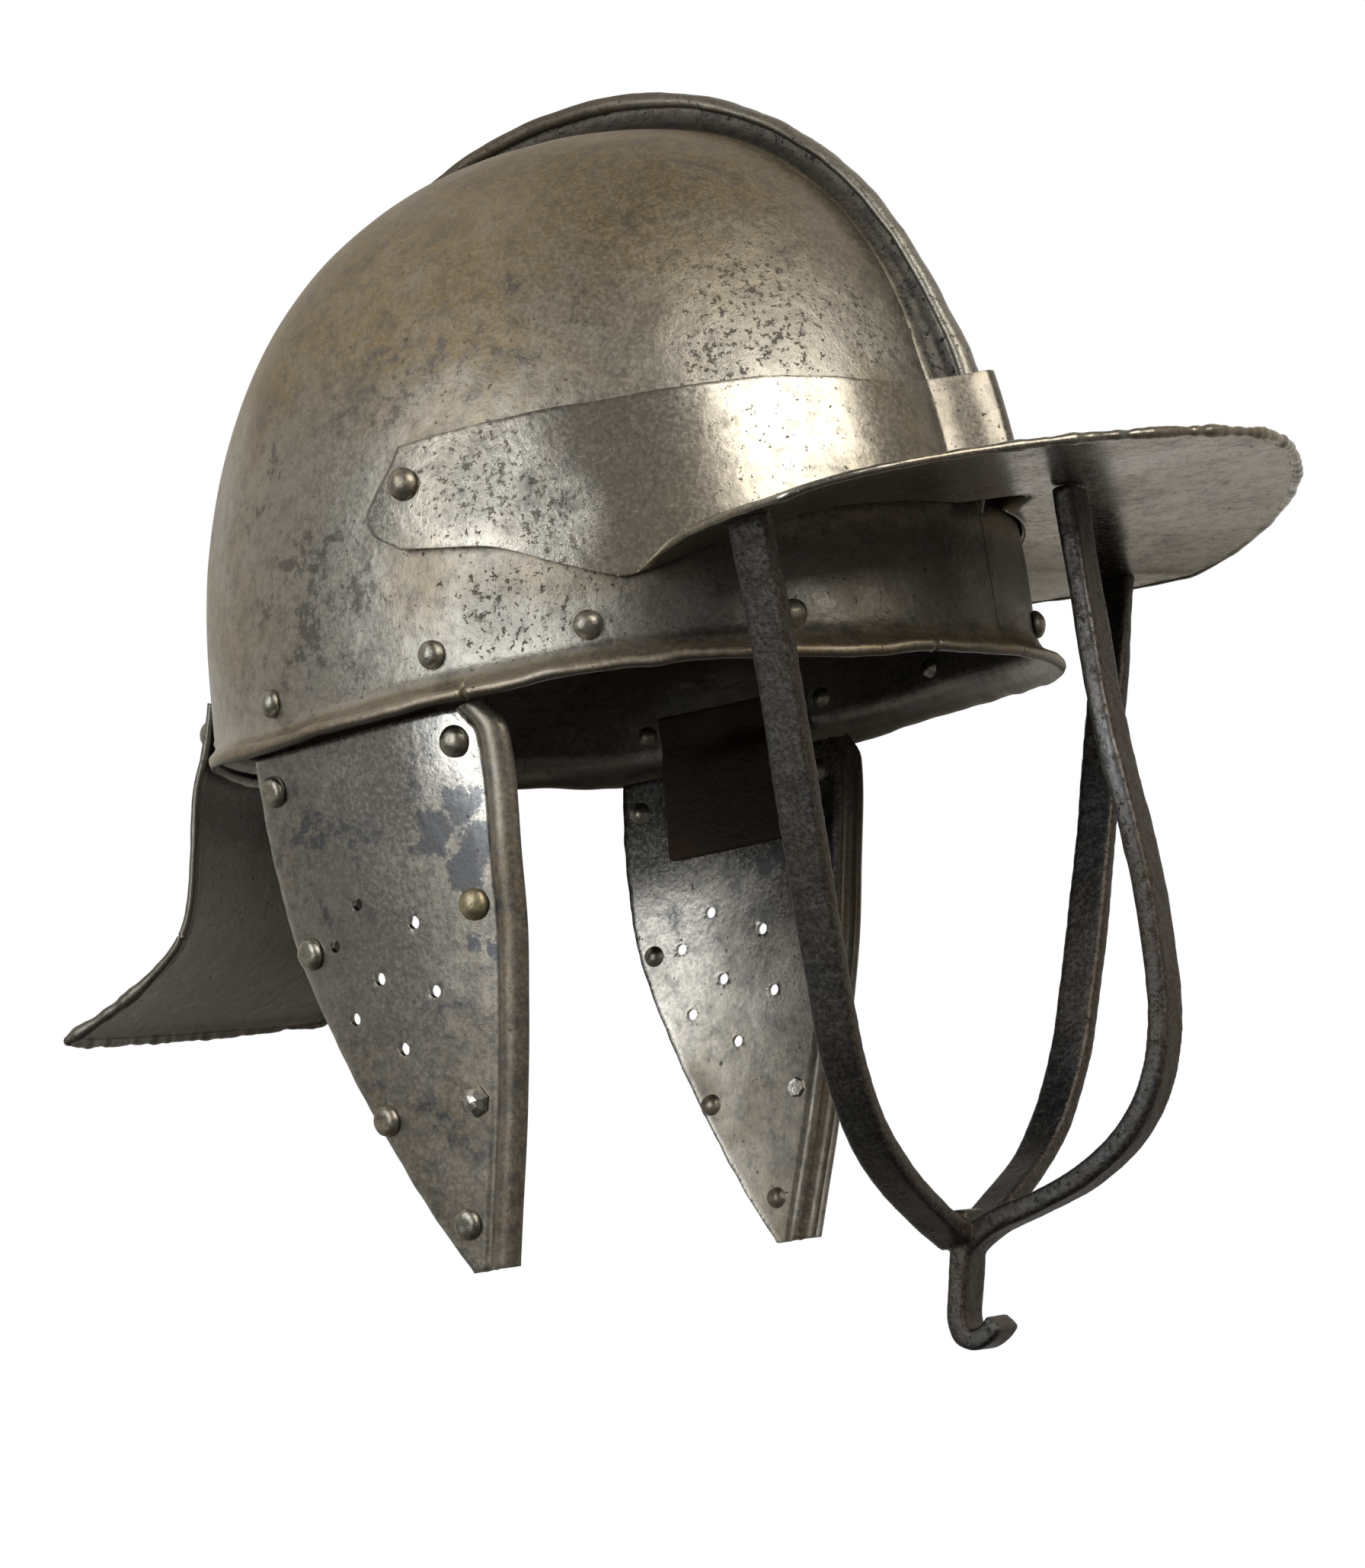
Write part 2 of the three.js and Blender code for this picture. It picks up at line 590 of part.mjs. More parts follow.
function faceGuardSolid() {
  const fore = new THREE.Vector3(1, 0, 0);
  const across = new THREE.Vector3(0, 1, 0);
  const inMiddle = (row) => new THREE.Vector3(row.x, 0, row.z);
  let guard = barSolid(MIDDLE_BAR.map(inMiddle), MIDDLE_BAR_SECTION, across);
  guard = guard.add(barSolid(HOOK.map(inMiddle), HOOK_SECTION, across));
  for (const side of [RIGHT, LEFT]) {
    const way = SIDE_BAR.map((row) => new THREE.Vector3(row.x, side * row.y, row.z));
    guard = guard.add(barSolid(way, SIDE_BAR_SECTION, fore));
  }
  const peak = peakGrid();
  const above = plateSolid(shiftedUp(peak, PEAK_CUT_HEIGHT), shiftedUp(peak, -PLATE / 2 - GAP));
  return guard.subtract(above);
}

// The cheek pieces and their leathers

function cheekOut(x, z) {
  const aside = (x - CHEEK.middleX) / CHEEK.spanX;
  return CHEEK.out + CHEEK.lean * z - CHEEK.bulge * aside * aside;
}

// How far the rolled edge stands proud at a distance behind the front edge
function rollRise(behind) {
  const share = (2 * behind) / CHEEK.roll - 1;
  if (share < 1) return CHEEK.rollHeight * Math.sqrt(Math.max(1 - share * share, 0));
  return share < 2 ? -CHEEK.groove * Math.sin(Math.PI * (share - 1)) : 0;
}

function cheekGrid(side, depth) {
  const grid = [];
  for (let i = 0; i <= CHEEK.rows; i += 1) {
    const z = mix(CHEEK.top, CHEEK.bottom, i / CHEEK.rows);
    const front = read(CHEEK_FRONT, "z", z, "x");
    const back = read(CHEEK_BACK, "z", z, "x");
    const roll = Math.min(CHEEK.roll, (front - back) * CHEEK.rollMost);
    const behinds = ROLL_STEPS.map((step) => step * roll);
    const flatFrom = behinds[behinds.length - 1];
    for (let k = 1; k <= CHEEK.backColumns; k += 1) {
      behinds.push(mix(flatFrom, front - back, k / CHEEK.backColumns));
    }
    grid.push(behinds.map((behind) => {
      const out = cheekOut(front - behind, z) + rollRise((behind * CHEEK.roll) / roll) - depth;
      return new THREE.Vector3(front - behind, side * out, z);
    }));
  }
  return grid;
}

function cheekSolid(side) {
  let plate = plateSolid(cheekGrid(side, 0), cheekGrid(side, PLATE));
  for (const hole of EAR_HOLES) {
    const from = side * (CHEEK.out - CHEEK.holeReach);
    const to = side * (CHEEK.out + CHEEK.holeReach);
    plate = plate.subtract(holeAlongY(hole.x, hole.z, EAR_HOLE, from, to));
  }
  return plate;
}

// The turn at which the skull's wall has a given place along X, on one side
function turnAtX(x, side) {
  return side * Math.acos(signedPower(x / SKULL.halfLength, SKULL.squareness / 2));
}

function strapSolid(side) {
  const face = (depth) => STRAP_ROWS.map((row) => {
    const points = [];
    for (let j = 0; j <= STRAP.columns; j += 1) {
      const x = mix(STRAP.frontX, STRAP.backX, j / STRAP.columns);
      const wall = Math.abs(skullPoint(turnAtX(x, side), row.z, -PLATE).y);
      const backed = row.hold === "skull" ? wall : cheekOut(x, row.z) - PLATE;
      points.push(new THREE.Vector3(x, side * (backed - STRAP.clearance - depth), row.z));
    }
    return points;
  });
  return plateSolid(face(0), face(STRAP.thickness));
}

// The neck guard

function neckPoint(across, z) {
  const out = read(NECK, "z", z, "out");
  const halfWidth = read(NECK, "z", z, "halfWidth");
  const bend = read(NECK, "z", z, "bend");
  const x = -SKULL.halfLength - out + bend * Math.pow(Math.abs(across), SKULL.squareness);
  const low = THREE.MathUtils.smoothstep(-z, -NECK_TWIST.fromZ, -NECK_TWIST.toZ);
  return new THREE.Vector3(x, across * halfWidth, z + NECK_TWIST.most * across * low);
}

function neckGrid() {
  const grid = [];
  const top = NECK[0].z;
  const bottom = NECK[NECK.length - 1].z;
  for (let i = 0; i <= NECK_ROWS; i += 1) {
    const z = mix(top, bottom, Math.pow(i / NECK_ROWS, NECK_ROW_SPREAD));
    const row = [];
    for (let j = 0; j <= NECK_COLUMNS; j += 1) row.push(neckPoint((2 * j) / NECK_COLUMNS - 1, z));
    grid.push(row);
  }
  return grid;
}

function neckSolid() {
  const grid = neckGrid();
  return plateSolid(movedGrid(grid, PLATE / 2), movedGrid(grid, -PLATE / 2));
}

// Rivets

function turnedMesh(name, profile, place, direction, sides, finish) {
  const geometry = new THREE.LatheGeometry(profile, sides);
  const mesh = meshOf(name, solidOf(geometry), finish);
  mesh.quaternion.setFromUnitVectors(new THREE.Vector3(0, 1, 0), direction.clone().normalize());
  mesh.position.copy(place);
  return mesh;
}

function domeProfile(radius, height, rings) {
  const profile = [new THREE.Vector2(0, 0)];
  for (let i = 0; i <= rings; i += 1) {
    const lift = (Math.PI / 2) * (i / rings);
    profile.push(new THREE.Vector2(i === rings ? 0 : radius * Math.cos(lift), height * Math.sin(lift)));
  }
  return profile;
}

function domeRivet(name, surface, direction, size) {
  const place = surface.clone().addScaledVector(direction, GAP);
  const profile = domeProfile(size.radius, size.height, size.rings);
  return turnedMesh(name, profile, place, direction, size.sides, RIVET_STEEL);
}

// The pivot's rivet: a domed head outside the ear, a shank, and a peened end inside the skull
function pivotRivet(side) {
  const turn = turnAtX(PIVOT.x, side);
  const skullOut = Math.abs(skullPoint(turn, PIVOT.z).y);
  const earFace = skullOut + BAND_GAP + EAR_STANDOFF + PLATE + 2 * GAP;
  const length = earFace - (skullOut - PLATE - 3 * GAP);
  const shank = PIVOT.shank / 2;
  const end = PIVOT_END;
  const profile = [
    [0, -length - end.thickness], [end.radius, -length - end.thickness],
    [end.radius, -length], [shank, -length],
    [shank, 0], [PIVOT_HEAD.radius, 0], [PIVOT_HEAD.radius * 0.86, PIVOT_HEAD.height * 0.5],
    [PIVOT_HEAD.radius * 0.5, PIVOT_HEAD.height * 0.87], [0, PIVOT_HEAD.height],
  ].map(([radius, along]) => new THREE.Vector2(radius, along));
  const place = new THREE.Vector3(PIVOT.x, side * earFace, PIVOT.z);
  const name = `pivot_rivet_${SIDE_NAMES.get(side)}`;
  return turnedMesh(name, profile, place, new THREE.Vector3(0, side, 0), PIVOT_HEAD.sides, RIVET_STEEL);
}

function cheekRivet(side, row, number) {
  const at = (x, z) => new THREE.Vector3(x, side * cheekOut(x, z), z);
  const along = at(row.x + STEP, row.z).sub(at(row.x - STEP, row.z));
  const up = at(row.x, row.z + STEP).sub(at(row.x, row.z - STEP));
  const direction = along.cross(up).normalize();
  if (direction.y * side < 0) direction.negate();
  return domeRivet(`cheek_${SIDE_NAMES.get(side)}_rivet_${number}`, at(row.x, row.z), direction, CHEEK_RIVET);
}

function neckRivet(across, number) {
  const z = NECK_RIVETS.z;
  const up = neckPoint(across, z + STEP).sub(neckPoint(across, z - STEP));
  const along = neckPoint(across + STEP, z).sub(neckPoint(across - STEP, z));
  const direction = up.cross(along).normalize();
  if (direction.x > 0) direction.negate();
  const face = neckPoint(across, z).addScaledVector(direction, PLATE / 2);
  return domeRivet(`neck_rivet_${number}`, face, direction, RIVET);
}

// The whole helmet

const helmet = new THREE.Group();
helmet.name = "three_bar_pot_helmet";

const shell = skullShell();
helmet.add(meshOf("skull_right", skullHalf(shell, RIGHT), STEEL));
helmet.add(meshOf("skull_left", skullHalf(shell, LEFT), STEEL));
helmet.add(meshOf("visor", visorSolid(), STEEL));
helmet.add(meshOf("face_guard", faceGuardSolid(), DARK_STEEL));
helmet.add(meshOf("neck_guard", neckSolid(), STEEL));

for (const side of [RIGHT, LEFT]) {
  const name = SIDE_NAMES.get(side);
  helmet.add(meshOf(`cheek_${name}`, cheekSolid(side), STEEL));
  helmet.add(meshOf(`cheek_strap_${name}`, strapSolid(side), LEATHER));
  helmet.add(pivotRivet(side));
  CHEEK_RIVETS.forEach((row, i) => helmet.add(cheekRivet(side, row, i + 1)));
}

RIM_RIVETS.forEach((row, i) => {
  const turn = turnAtX(row.x, row.side);
  const place = onSkull(turn, row.z, RIM_RIVET_LIFT);
  helmet.add(domeRivet(`rim_rivet_${i + 1}`, place, skullNormal(turn, row.z), RIVET));
});
NECK_RIVETS.across.forEach((across, i) => helmet.add(neckRivet(across, i + 1)));

export default helmet;
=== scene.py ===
# The looks of the three-bar pot helmet: worn steel plates in fine meshes, each standing for nodes of the
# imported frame. Sizes are in millimetres, as in the part's source, and become metres where a mesh is made.
import math

import bmesh
import bpy
import numpy as np
from mathutils import Matrix, Vector, geometry, noise


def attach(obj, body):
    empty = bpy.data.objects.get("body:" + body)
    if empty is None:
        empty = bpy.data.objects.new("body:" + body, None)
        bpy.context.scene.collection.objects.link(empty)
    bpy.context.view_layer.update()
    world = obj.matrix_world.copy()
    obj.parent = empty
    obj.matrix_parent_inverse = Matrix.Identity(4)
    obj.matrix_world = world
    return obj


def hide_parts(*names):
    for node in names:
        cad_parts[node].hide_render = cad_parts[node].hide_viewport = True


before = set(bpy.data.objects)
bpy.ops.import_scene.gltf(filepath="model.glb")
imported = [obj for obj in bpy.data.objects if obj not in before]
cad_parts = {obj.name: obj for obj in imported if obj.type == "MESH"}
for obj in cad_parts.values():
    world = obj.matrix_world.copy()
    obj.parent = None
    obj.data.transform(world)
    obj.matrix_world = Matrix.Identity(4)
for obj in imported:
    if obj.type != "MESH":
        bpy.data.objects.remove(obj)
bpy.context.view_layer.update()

# Sizes shared by every piece
MM = 0.001
PLATE = 1.4
GAP = 0.3
SEAM = 0.15
STEP = 0.01
SEAM_TURN = 0.00125
NEARLY_ZERO = 1e-9
SHORTEST = 1e-6
RIGHT = -1
LEFT = 1
SIDE_NAMES = {RIGHT: "right", LEFT: "left"}
FORE = np.array((1.0, 0.0, 0.0))
ASIDE = np.array((0.0, 1.0, 0.0))
UP = np.array((0.0, 0.0, 1.0))

# The skull: half sizes at the rim, height of its crown, height of its upright wall, and its roundness
SKULL = dict(half_length=110.8, half_width=92.1, crown=153.3, wall=9, round_down=2.46, round_up=2.36,
             lean=6.9, taper=0.042, squareness=2.1)
SKULL_MIDDLE = (0, 0, 40)
SKULL_COLUMNS = 210
INNER_ROWS = 60
OUTER_ROWS = 120
RIM_ROWS = 34

# The turned rim's section from the inside round to the outside, and its line: how far it dips at the brow and
# rises at the nape, where along the helmet each begins and ends, and the flare left behind the neck guard
RIM_SECTION = dict(out=(-1.4, -0.7, 1.2, 3.2, 4.9, 6.0, 6.0, 4.4, 1.9, 0.5),
                   z=(7.4, 5.2, 2.4, 0.3, -0.2, 0.6, 2.2, 3.4, 5.2, 7.4))
RIM_FLARED = dict(start=0.2, full=1.2)
RIM_LINE = dict(dip=5, dip_from=0.4, dip_to=1, rise=6.5, rise_from=0.35, rise_to=0.95, level_z=22, fade=17,
                back_flare=0.2, flare_from=0.55, flare_to=0.9)
RIM_WAVE = dict(size=15, height=0.8)
RIM_LIP = dict(start=1, waved=5, cracked=6)
RIM_CRACKS = dict(x=(15.1, 105.2), side=(RIGHT, RIGHT), half_width=(0.9, 0.6), depth=(3.4, 2.2))
CRACK_OFFSETS = (-1, -0.45, 0, 0.45, 1)

# The hammered surface of the bowl: its broad and its close unevenness, and the heights where it begins
HAMMER_BROAD = dict(size=46, height=0.42)
HAMMER_CLOSE = dict(size=13, height=0.1, seed=3.0)
HAMMERED = dict(from_z=9, full_z=26)

# The comb: height above the skull along its way over the crown, in degrees from the front rim
COMB = dict(turn=(6.5, 9.5, 19, 30, 47, 62, 75, 88, 97, 108, 125, 150, 163, 170),
            height=(0.8, 4.4, 9, 7.6, 7.7, 8.2, 10.4, 12.8, 12, 10.5, 9, 6.5, 3.6, 1.2))
COMB_FULL_HEIGHT = 9
COMB_WALL = 1.7
COMB_FILLET = dict(reach=6.5, height=4.2, sink=0.7, sink_power=6, steps=14)
COMB_BEAD = dict(across=(0.05, 0.75, 0.55, -0.9, -3.0, -4.7, -5.3, -4.6, -3.5, -3.3),
                 down=(2.9, 1.7, 0.5, 0, 0.2, 1.0, 2.3, 3.5, 3.3, 2.4))
COMB_BEAD_POINTS = 30
COMB_STATIONS = 200
COMB_SEARCH = dict(down=14, up=4, halvings=34)
COMB_WORK = dict(size=11, height=0.35, octaves=3, seed=5.0)
COMB_WORKED = dict(start=0.2, full=0.7)

# The visor: a band from ear to ear, turned on the pivots, with a ridge over the comb and a peak below
PIVOT = dict(x=5, z=55.6)
BAND_GAP = 0.6
EAR_STANDOFF = 0.9
BAND_TOP = dict(turn=(0, 8, 14, 24, 34, 46, 64, 88, 96),
                z=(65.6, 64.6, 63.8, 64.7, 65.9, 65.8, 65.6, 65.4, 65.4))
BAND_FOLD = dict(turn=(0, 9, 25, 34, 48, 60, 68, 77, 84, 94),
                 z=(33.6, 33.6, 33, 32, 27, 22, 27, 34.8, 37.6, 41.5))
EAR_FROM = 55
EAR_FULL = 84
EAR_END = dict(z=(36, 40.9, 42.8, 45.3, 48, 50.4, 55, 59.9, 65.5),
               turn=(88.4, 90.0, 91.6, 92.8, 93.4, 93.4, 92, 90.3, 88.9))
EAR_SHARE = 0.36
RIDGE = dict(height=11.5, half_width=13)
BAND_COLUMNS = 361
BAND_ROWS = 30
BAND_SETTLING = 4
BAND_EDGE_WAVE = dict(size=5, height=0.45, seed=2.5)
FOLD = dict(band_reach=3.6, peak_reach=4.5, most=0.8)

# The peak: outline in plan, the height of its edge, and its rolled border, crimped at the tip
PEAK = dict(widest_x=117, half_width=105.2, tip=190.2, outline=1.5, side_fall=0.0373, fall_power=1.5,
            side_z=24.2, tip_rise=8, rise_power=0.8, fade_from=45, fade_to=62, search_from=60, search_to=220,
            halvings=40)
PEAK_ROWS = 46
PEAK_EDGE_WAVE = dict(size=6, height=0.6, seed=5.5)
BORDER = dict(radius=1.05, tip_radius=1.35, tip_from=34, tip_full=12, sides=12, stations=420, way_step=4,
              fine=8, thin_ends=26, end_share=0.3)
BORDER_CRIMP = dict(size=4, height=0.5, seed=2.0)
BORDER_WEAR = dict(size=8, height=0.22, seed=6.0)

# The face guard: the ways of the bars' middles, and their sections
SIDE_BAR = dict(x=(100.6, 99, 96.8, 91.3, 85.2, 82, 79.5, 77.8, 75.6, 74.6),
                y=(93.5, 90.5, 85, 75, 63.8, 56.6, 47, 36, 18, 2),
                z=(32, 20, 0, -40, -80, -100, -115, -125, -135.5, -143))
MIDDLE_BAR = dict(x=(136, 136, 136.4, 139, 140, 137.8, 133.4, 125, 112.4, 98, 84, 74.5),
                  z=(40, 0, -27, -53, -78, -102, -114, -124.5, -132.3, -137, -140.5, -146))
HOOK = dict(x=(77, 75.4, 73, 71.6, 72.4, 75.4, 79, 82),
            z=(-136, -146, -156, -162, -166.2, -167.6, -166.6, -164))
SIDE_BAR_SECTION = dict(width=10.5, thickness=4.8)
MIDDLE_BAR_SECTION = dict(width=10, thickness=5.4)
HOOK_SECTION = dict(width=10.5, thickness=5.2)
BAR_ROUND = 1.1
BAR_CORNER_STEPS = 4
BAR_STATIONS = 180
BAR_VOXEL = 0.72
BAR_SMOOTHING = 3
BAR_BROAD = dict(size=19, height=0.28)
BAR_CLOSE = dict(size=4, height=0.07, seed=4.0)

# The cheek piece: its edges by height, and its bulge, lean and rolled front edge
CHEEK = dict(top=0.4, bottom=-134, out=87, lean=0.12, middle_x=-15, span_x=45, bulge=4, roll=6.8,
             roll_height=2.3, groove=0.5, roll_most=0.55)
CHEEK_FRONT = dict(z=(0.4, -7, -39, -58, -96, -134), x=(14.6, 18.6, 15, 12, 2.5, -9))
CHEEK_BACK = dict(z=(0.4, -21, -50, -73, -93, -115, -134), x=(-58, -59, -56.8, -50, -42.4, -32.4, -22))
CHEEK_ROWS = 92
CHEEK_ROLL_COLUMNS = 18
CHEEK_BACK_COLUMNS = 40
EAR_HOLE = dict(diameter=3.3, sides=20, clear=0.5, inside=0.95)
EAR_HOLES = dict(x=(-34, -18, -44, -31.8, -16, -42.3, -28.9),
                 z=(-40.4, -47.9, -49.1, -59.5, -65.3, -67.7, -77.4))
CHEEK_RIVETS = dict(x=(4.5, 0.5, -11, -20.6, -53.6, -52.6, -38.8),
                    z=(-7.6, -46.8, -93.3, -122, -8.4, -49.7, -93.7))
CHEEK_WORK = dict(size=34, height=0.35)
CHEEK_WORK_SEED = 1.5
CHEEK_EDGE_WAVE = dict(size=9, height=0.45, seed=8.5)

# The leather that a cheek piece hangs on
STRAP = dict(thickness=2, front_x=0, back_x=-44, clearance=0.8, skull_to=9.5, cheek_from=1.5, columns=26,
             rows=26, top=17, bottom=-24)

# The neck guard: how far its middle stands out from the skull's wall, its half width, and how far forward its
# side edges come, with the hem turned along its edges and its ragged lip
NECK = dict(z=(26, 14, 4, -12, -27, -35, -42, -47.5, -52), out=(2.2, 5, 7.9, 9.4, 12, 17, 28, 40, 51),
            half_width=(45, 46, 47, 48, 49, 50, 51, 53, 55), bend=(13.4, 13, 12, 10.5, 9.5, 9, 8.5, 8, 7))
NECK_TWIST = dict(most=2, from_z=4, to_z=-53)
NECK_ROWS = 90
NECK_COLUMNS = 96
NECK_ROW_SPREAD = 0.72
NECK_HEM = dict(width=4.2, height=0.7, stations=80, points=520, fine=6, radius=1.15, lip_radius=1.7,
                lip_from=38, lip_full=48, side_ragged=0.25, droop=0.6)
NECK_RAGGED = dict(size=9, height=0.8, octaves=3, seed=9.0)
HEM_ACROSS = (0.6, 0.1, 0.8)
NECK_RIVETS = dict(z=19, across=(-0.86, 0, 0.86))

# Rivets: domed heads above the rim, by side and place along it, and their sizes
RIM_RIVETS = dict(side=(RIGHT, RIGHT, RIGHT, RIGHT, LEFT, LEFT, LEFT, LEFT),
                  x=(-49, 6, 46, 87, 105, 46, 6, -49), z=(13, 13, 12.2, 7.6, 7.2, 12.2, 13, 13))
RIM_RIVET_LIFT = 0.3
RIVET = dict(radius=3.6, height=2.6)
CHEEK_RIVET = dict(radius=4, height=2.6)
PIVOT_HEAD = dict(radius=4.1, height=3.2)
RIVET_SIDES = 28
RIVET_RINGS = 9
RIVET_SHANK = dict(length=3, share=0.6, collar=0.9)
RIVET_ASKEW = (0.3, 0.2, 1.0)
RIVET_OFF_CENTRE = 1e-3
RIVET_WORN = dict(size=3.2, height=0.16)
RIVET_SEEDS = dict(neck=20, cheek=40, pivot=60)
SEED_STEP = 7
FACETS = dict(sides=7, count=4)
FLATTENED = 0.3
FLAT_POWER = 4
LAST_ROUND_RIVET = 3
BRASS_RIVET = 2
BRIGHT_RIVET = 3

# Meshes: how close points are merged, the bevels of plates and leathers, and how ridges and hollows are found
MERGED = 2e-6
DEGENERATE = 1e-7
MESHING = 1e-5
PLATE_BEVEL = 0.4
LEATHER_BEVEL = 0.6
BEVEL_SEGMENTS = 2
BEVEL_ANGLE = 50
WEAR_BLURS = 2
BLUR_KEPT = 0.4
RIDGE_RAISED = (0.06, 0.3)
HOLLOW_SUNK = (0.05, 0.25)
MARKS = ("stain", "brown", "wear_and_highlight", "pitted", "shade")
FRACTAL_FALL = 1.0
FRACTAL_STEP = 2.0


# Plain helpers

def mix(a, b, share):
    return a + (b - a) * share


def smoothstep(value, low, high):
    share = np.clip((value - low) / (high - low), 0, 1)
    return share * share * (3 - 2 * share)


def signed_power(value, exponent):
    return np.sign(value) * np.abs(value) ** exponent


def unit(vectors):
    return vectors / np.maximum(np.linalg.norm(vectors, axis=-1, keepdims=True), NEARLY_ZERO)


def curve(start, end, leave, arrive, t):
    """A smooth way from start to end that leaves and arrives at the given rates."""
    rest = 1 - t
    level = start * (1 + 2 * t) * rest ** 2 + end * t ** 2 * (3 - 2 * t)
    return level + leave * t * rest ** 2 - arrive * t ** 2 * rest


def halve(low, high, times, beyond):
    """The place between low and high from which beyond is true, found by halving."""
    for _ in range(times):
        half = (low + high) / 2
        past = beyond(half)
        high = np.where(past, half, high)
        low = np.where(past, low, half)
    return (low + high) / 2


def read(table, key, column, at):
    """Values read smoothly from a short table whose rows go by the column key, either way."""
    keys = np.array(table[key], float)
    values = np.array(table[column], float)
    at = np.asarray(at, float)
    if keys[-1] < keys[0]:
        keys = -keys
        at = -at
    slopes = np.empty_like(values)
    slopes[1:-1] = (values[2:] - values[:-2]) / (keys[2:] - keys[:-2])
    slopes[0] = (values[1] - values[0]) / (keys[1] - keys[0])
    slopes[-1] = (values[-1] - values[-2]) / (keys[-1] - keys[-2])
    i = np.clip(np.searchsorted(keys, at) - 1, 0, len(keys) - 2)
    span = keys[i + 1] - keys[i]
    t = np.clip((at - keys[i]) / span, 0, 1)
    return curve(values[i], values[i + 1], span * slopes[i], span * slopes[i + 1], t)


def smooth_way(points, count, fine=40):
    """Evenly spaced points along a smooth curve through the given ones."""
    points = np.asarray(points, float)
    wider = np.vstack([2 * points[0] - points[1], points, 2 * points[-1] - points[-2]])
    gaps = np.sqrt(np.linalg.norm(np.diff(wider, axis=0), axis=1))
    t = np.linspace(0, 1, fine, endpoint=False)[:, None]
    spans = []
    for i in range(len(points) - 1):
        p0, p1, p2, p3 = wider[i:i + 4]
        a, b, c = gaps[i:i + 3]
        leave = ((p1 - p0) / a - (p2 - p0) / (a + b) + (p2 - p1) / b) * b
        arrive = ((p2 - p1) / b - (p3 - p1) / (b + c) + (p3 - p2) / c) * b
        spans.append(curve(p1, p2, leave, arrive, t))
    way = np.vstack([*spans, points[-1:]])
    length = np.concatenate([[0], np.cumsum(np.linalg.norm(np.diff(way, axis=0), axis=1))])
    at = np.linspace(0, length[-1], count)
    return np.stack([np.interp(at, length, way[:, k]) for k in range(way.shape[1])], -1)


def uneven(points, size, height, octaves=2, seed=0.0):
    """Smooth random heights either side of 0, of a grain size in millimetres, the same at every run."""
    places = points.reshape(-1, 3) / size + seed
    heights = [noise.fractal(Vector(place), FRACTAL_FALL, FRACTAL_STEP, octaves) for place in places]
    return height * np.array(heights).reshape(points.shape[:-1])


def grid_normals(points, middle):
    """Directions across a grid of points, away from a middle point."""
    across = unit(np.cross(np.gradient(points, axis=1), np.gradient(points, axis=0)))
    inwards = np.sum(across * (points - np.asarray(middle)), -1) < 0
    across[inwards] *= -1
    return across


def wave(at, size, height, seed, octaves=3):
    """A worn edge's unevenness along one measure."""
    at = np.asarray(at, float)
    return uneven(np.stack([at, 0 * at, 0 * at], -1), size, height, octaves, seed)


def round_angles(sides):
    return np.linspace(0, 2 * np.pi, sides, endpoint=False)


def tube(way, radius, first, second):
    """Rings of points round a way, between two directions across it."""
    angle = round_angles(BORDER["sides"])[None, :, None]
    ring = first[:, None, :] * np.cos(angle) + second[:, None, :] * np.sin(angle)
    return way[:, None, :] + ring * radius[:, None, None]


class Surface:
    """Points in millimetres and the faces between them, collected from grids."""

    def __init__(self):
        self.points = np.zeros((0, 3))
        self.faces = []

    def grid(self, points, closed=False, capped=False):
        rows, columns = points.shape[:2]
        place = len(self.points) + np.arange(rows * columns).reshape(rows, columns)
        if closed:
            place = np.concatenate([place, place[:, :1]], axis=1)
        corners = [place[:-1, :-1], place[:-1, 1:], place[1:, 1:], place[1:, :-1]]
        self.points = np.vstack([self.points, points.reshape(-1, 3)])
        self.faces.extend(np.stack(corners, -1).reshape(-1, 4).tolist())
        if capped:
            self.faces.append(place[0, :-1][::-1].tolist())
            self.faces.append(place[-1, :-1].tolist())
        return self

    def triangles(self, points, faces):
        start = len(self.points)
        self.points = np.vstack([self.points, points])
        self.faces.extend([[start + i for i in face] for face in faces])
        return self


# The skull's shape

def skull_share(z, crown):
    up = np.clip((z - SKULL["wall"]) / (crown - SKULL["wall"]), 0, 1)
    return (1 - up ** SKULL["round_up"]) ** (1 / SKULL["round_down"])


def skull_lean(z):
    return SKULL["lean"] * (np.maximum(z, 0) / SKULL["crown"]) ** 2


def skull_point(turn, z, out=0.0, crown=SKULL["crown"]):
    forward = signed_power(np.cos(turn), 2 / SKULL["squareness"])
    aside = signed_power(np.sin(turn), 2 / SKULL["squareness"])
    share = skull_share(z, crown)
    x = (SKULL["half_length"] + out) * share * forward + skull_lean(z)
    y = (SKULL["half_width"] + out) * share * aside * (1 - SKULL["taper"] * forward)
    return np.stack(np.broadcast_arrays(x, y, np.asarray(z, float)), -1)


def skull_normal(turn, z):
    along = skull_point(turn + STEP, z) - skull_point(turn - STEP, z)
    up = skull_point(turn, z + STEP) - skull_point(turn, z - STEP)
    return unit(np.cross(along, up))


def on_skull(turn, z, distance):
    return skull_point(turn, z) + skull_normal(turn, z) * np.asarray(distance)[..., None]


def turn_at_x(x, side):
    return side * np.arccos(signed_power(x / SKULL["half_length"], SKULL["squareness"] / 2))


def rim_shift(turn, z):
    fade = smoothstep(RIM_LINE["level_z"] - z, 0, RIM_LINE["fade"])
    forward = np.cos(turn)
    dip = smoothstep(forward, RIM_LINE["dip_from"], RIM_LINE["dip_to"])
    rise = smoothstep(-forward, RIM_LINE["rise_from"], RIM_LINE["rise_to"])
    return fade * (RIM_LINE["rise"] * rise - RIM_LINE["dip"] * dip)


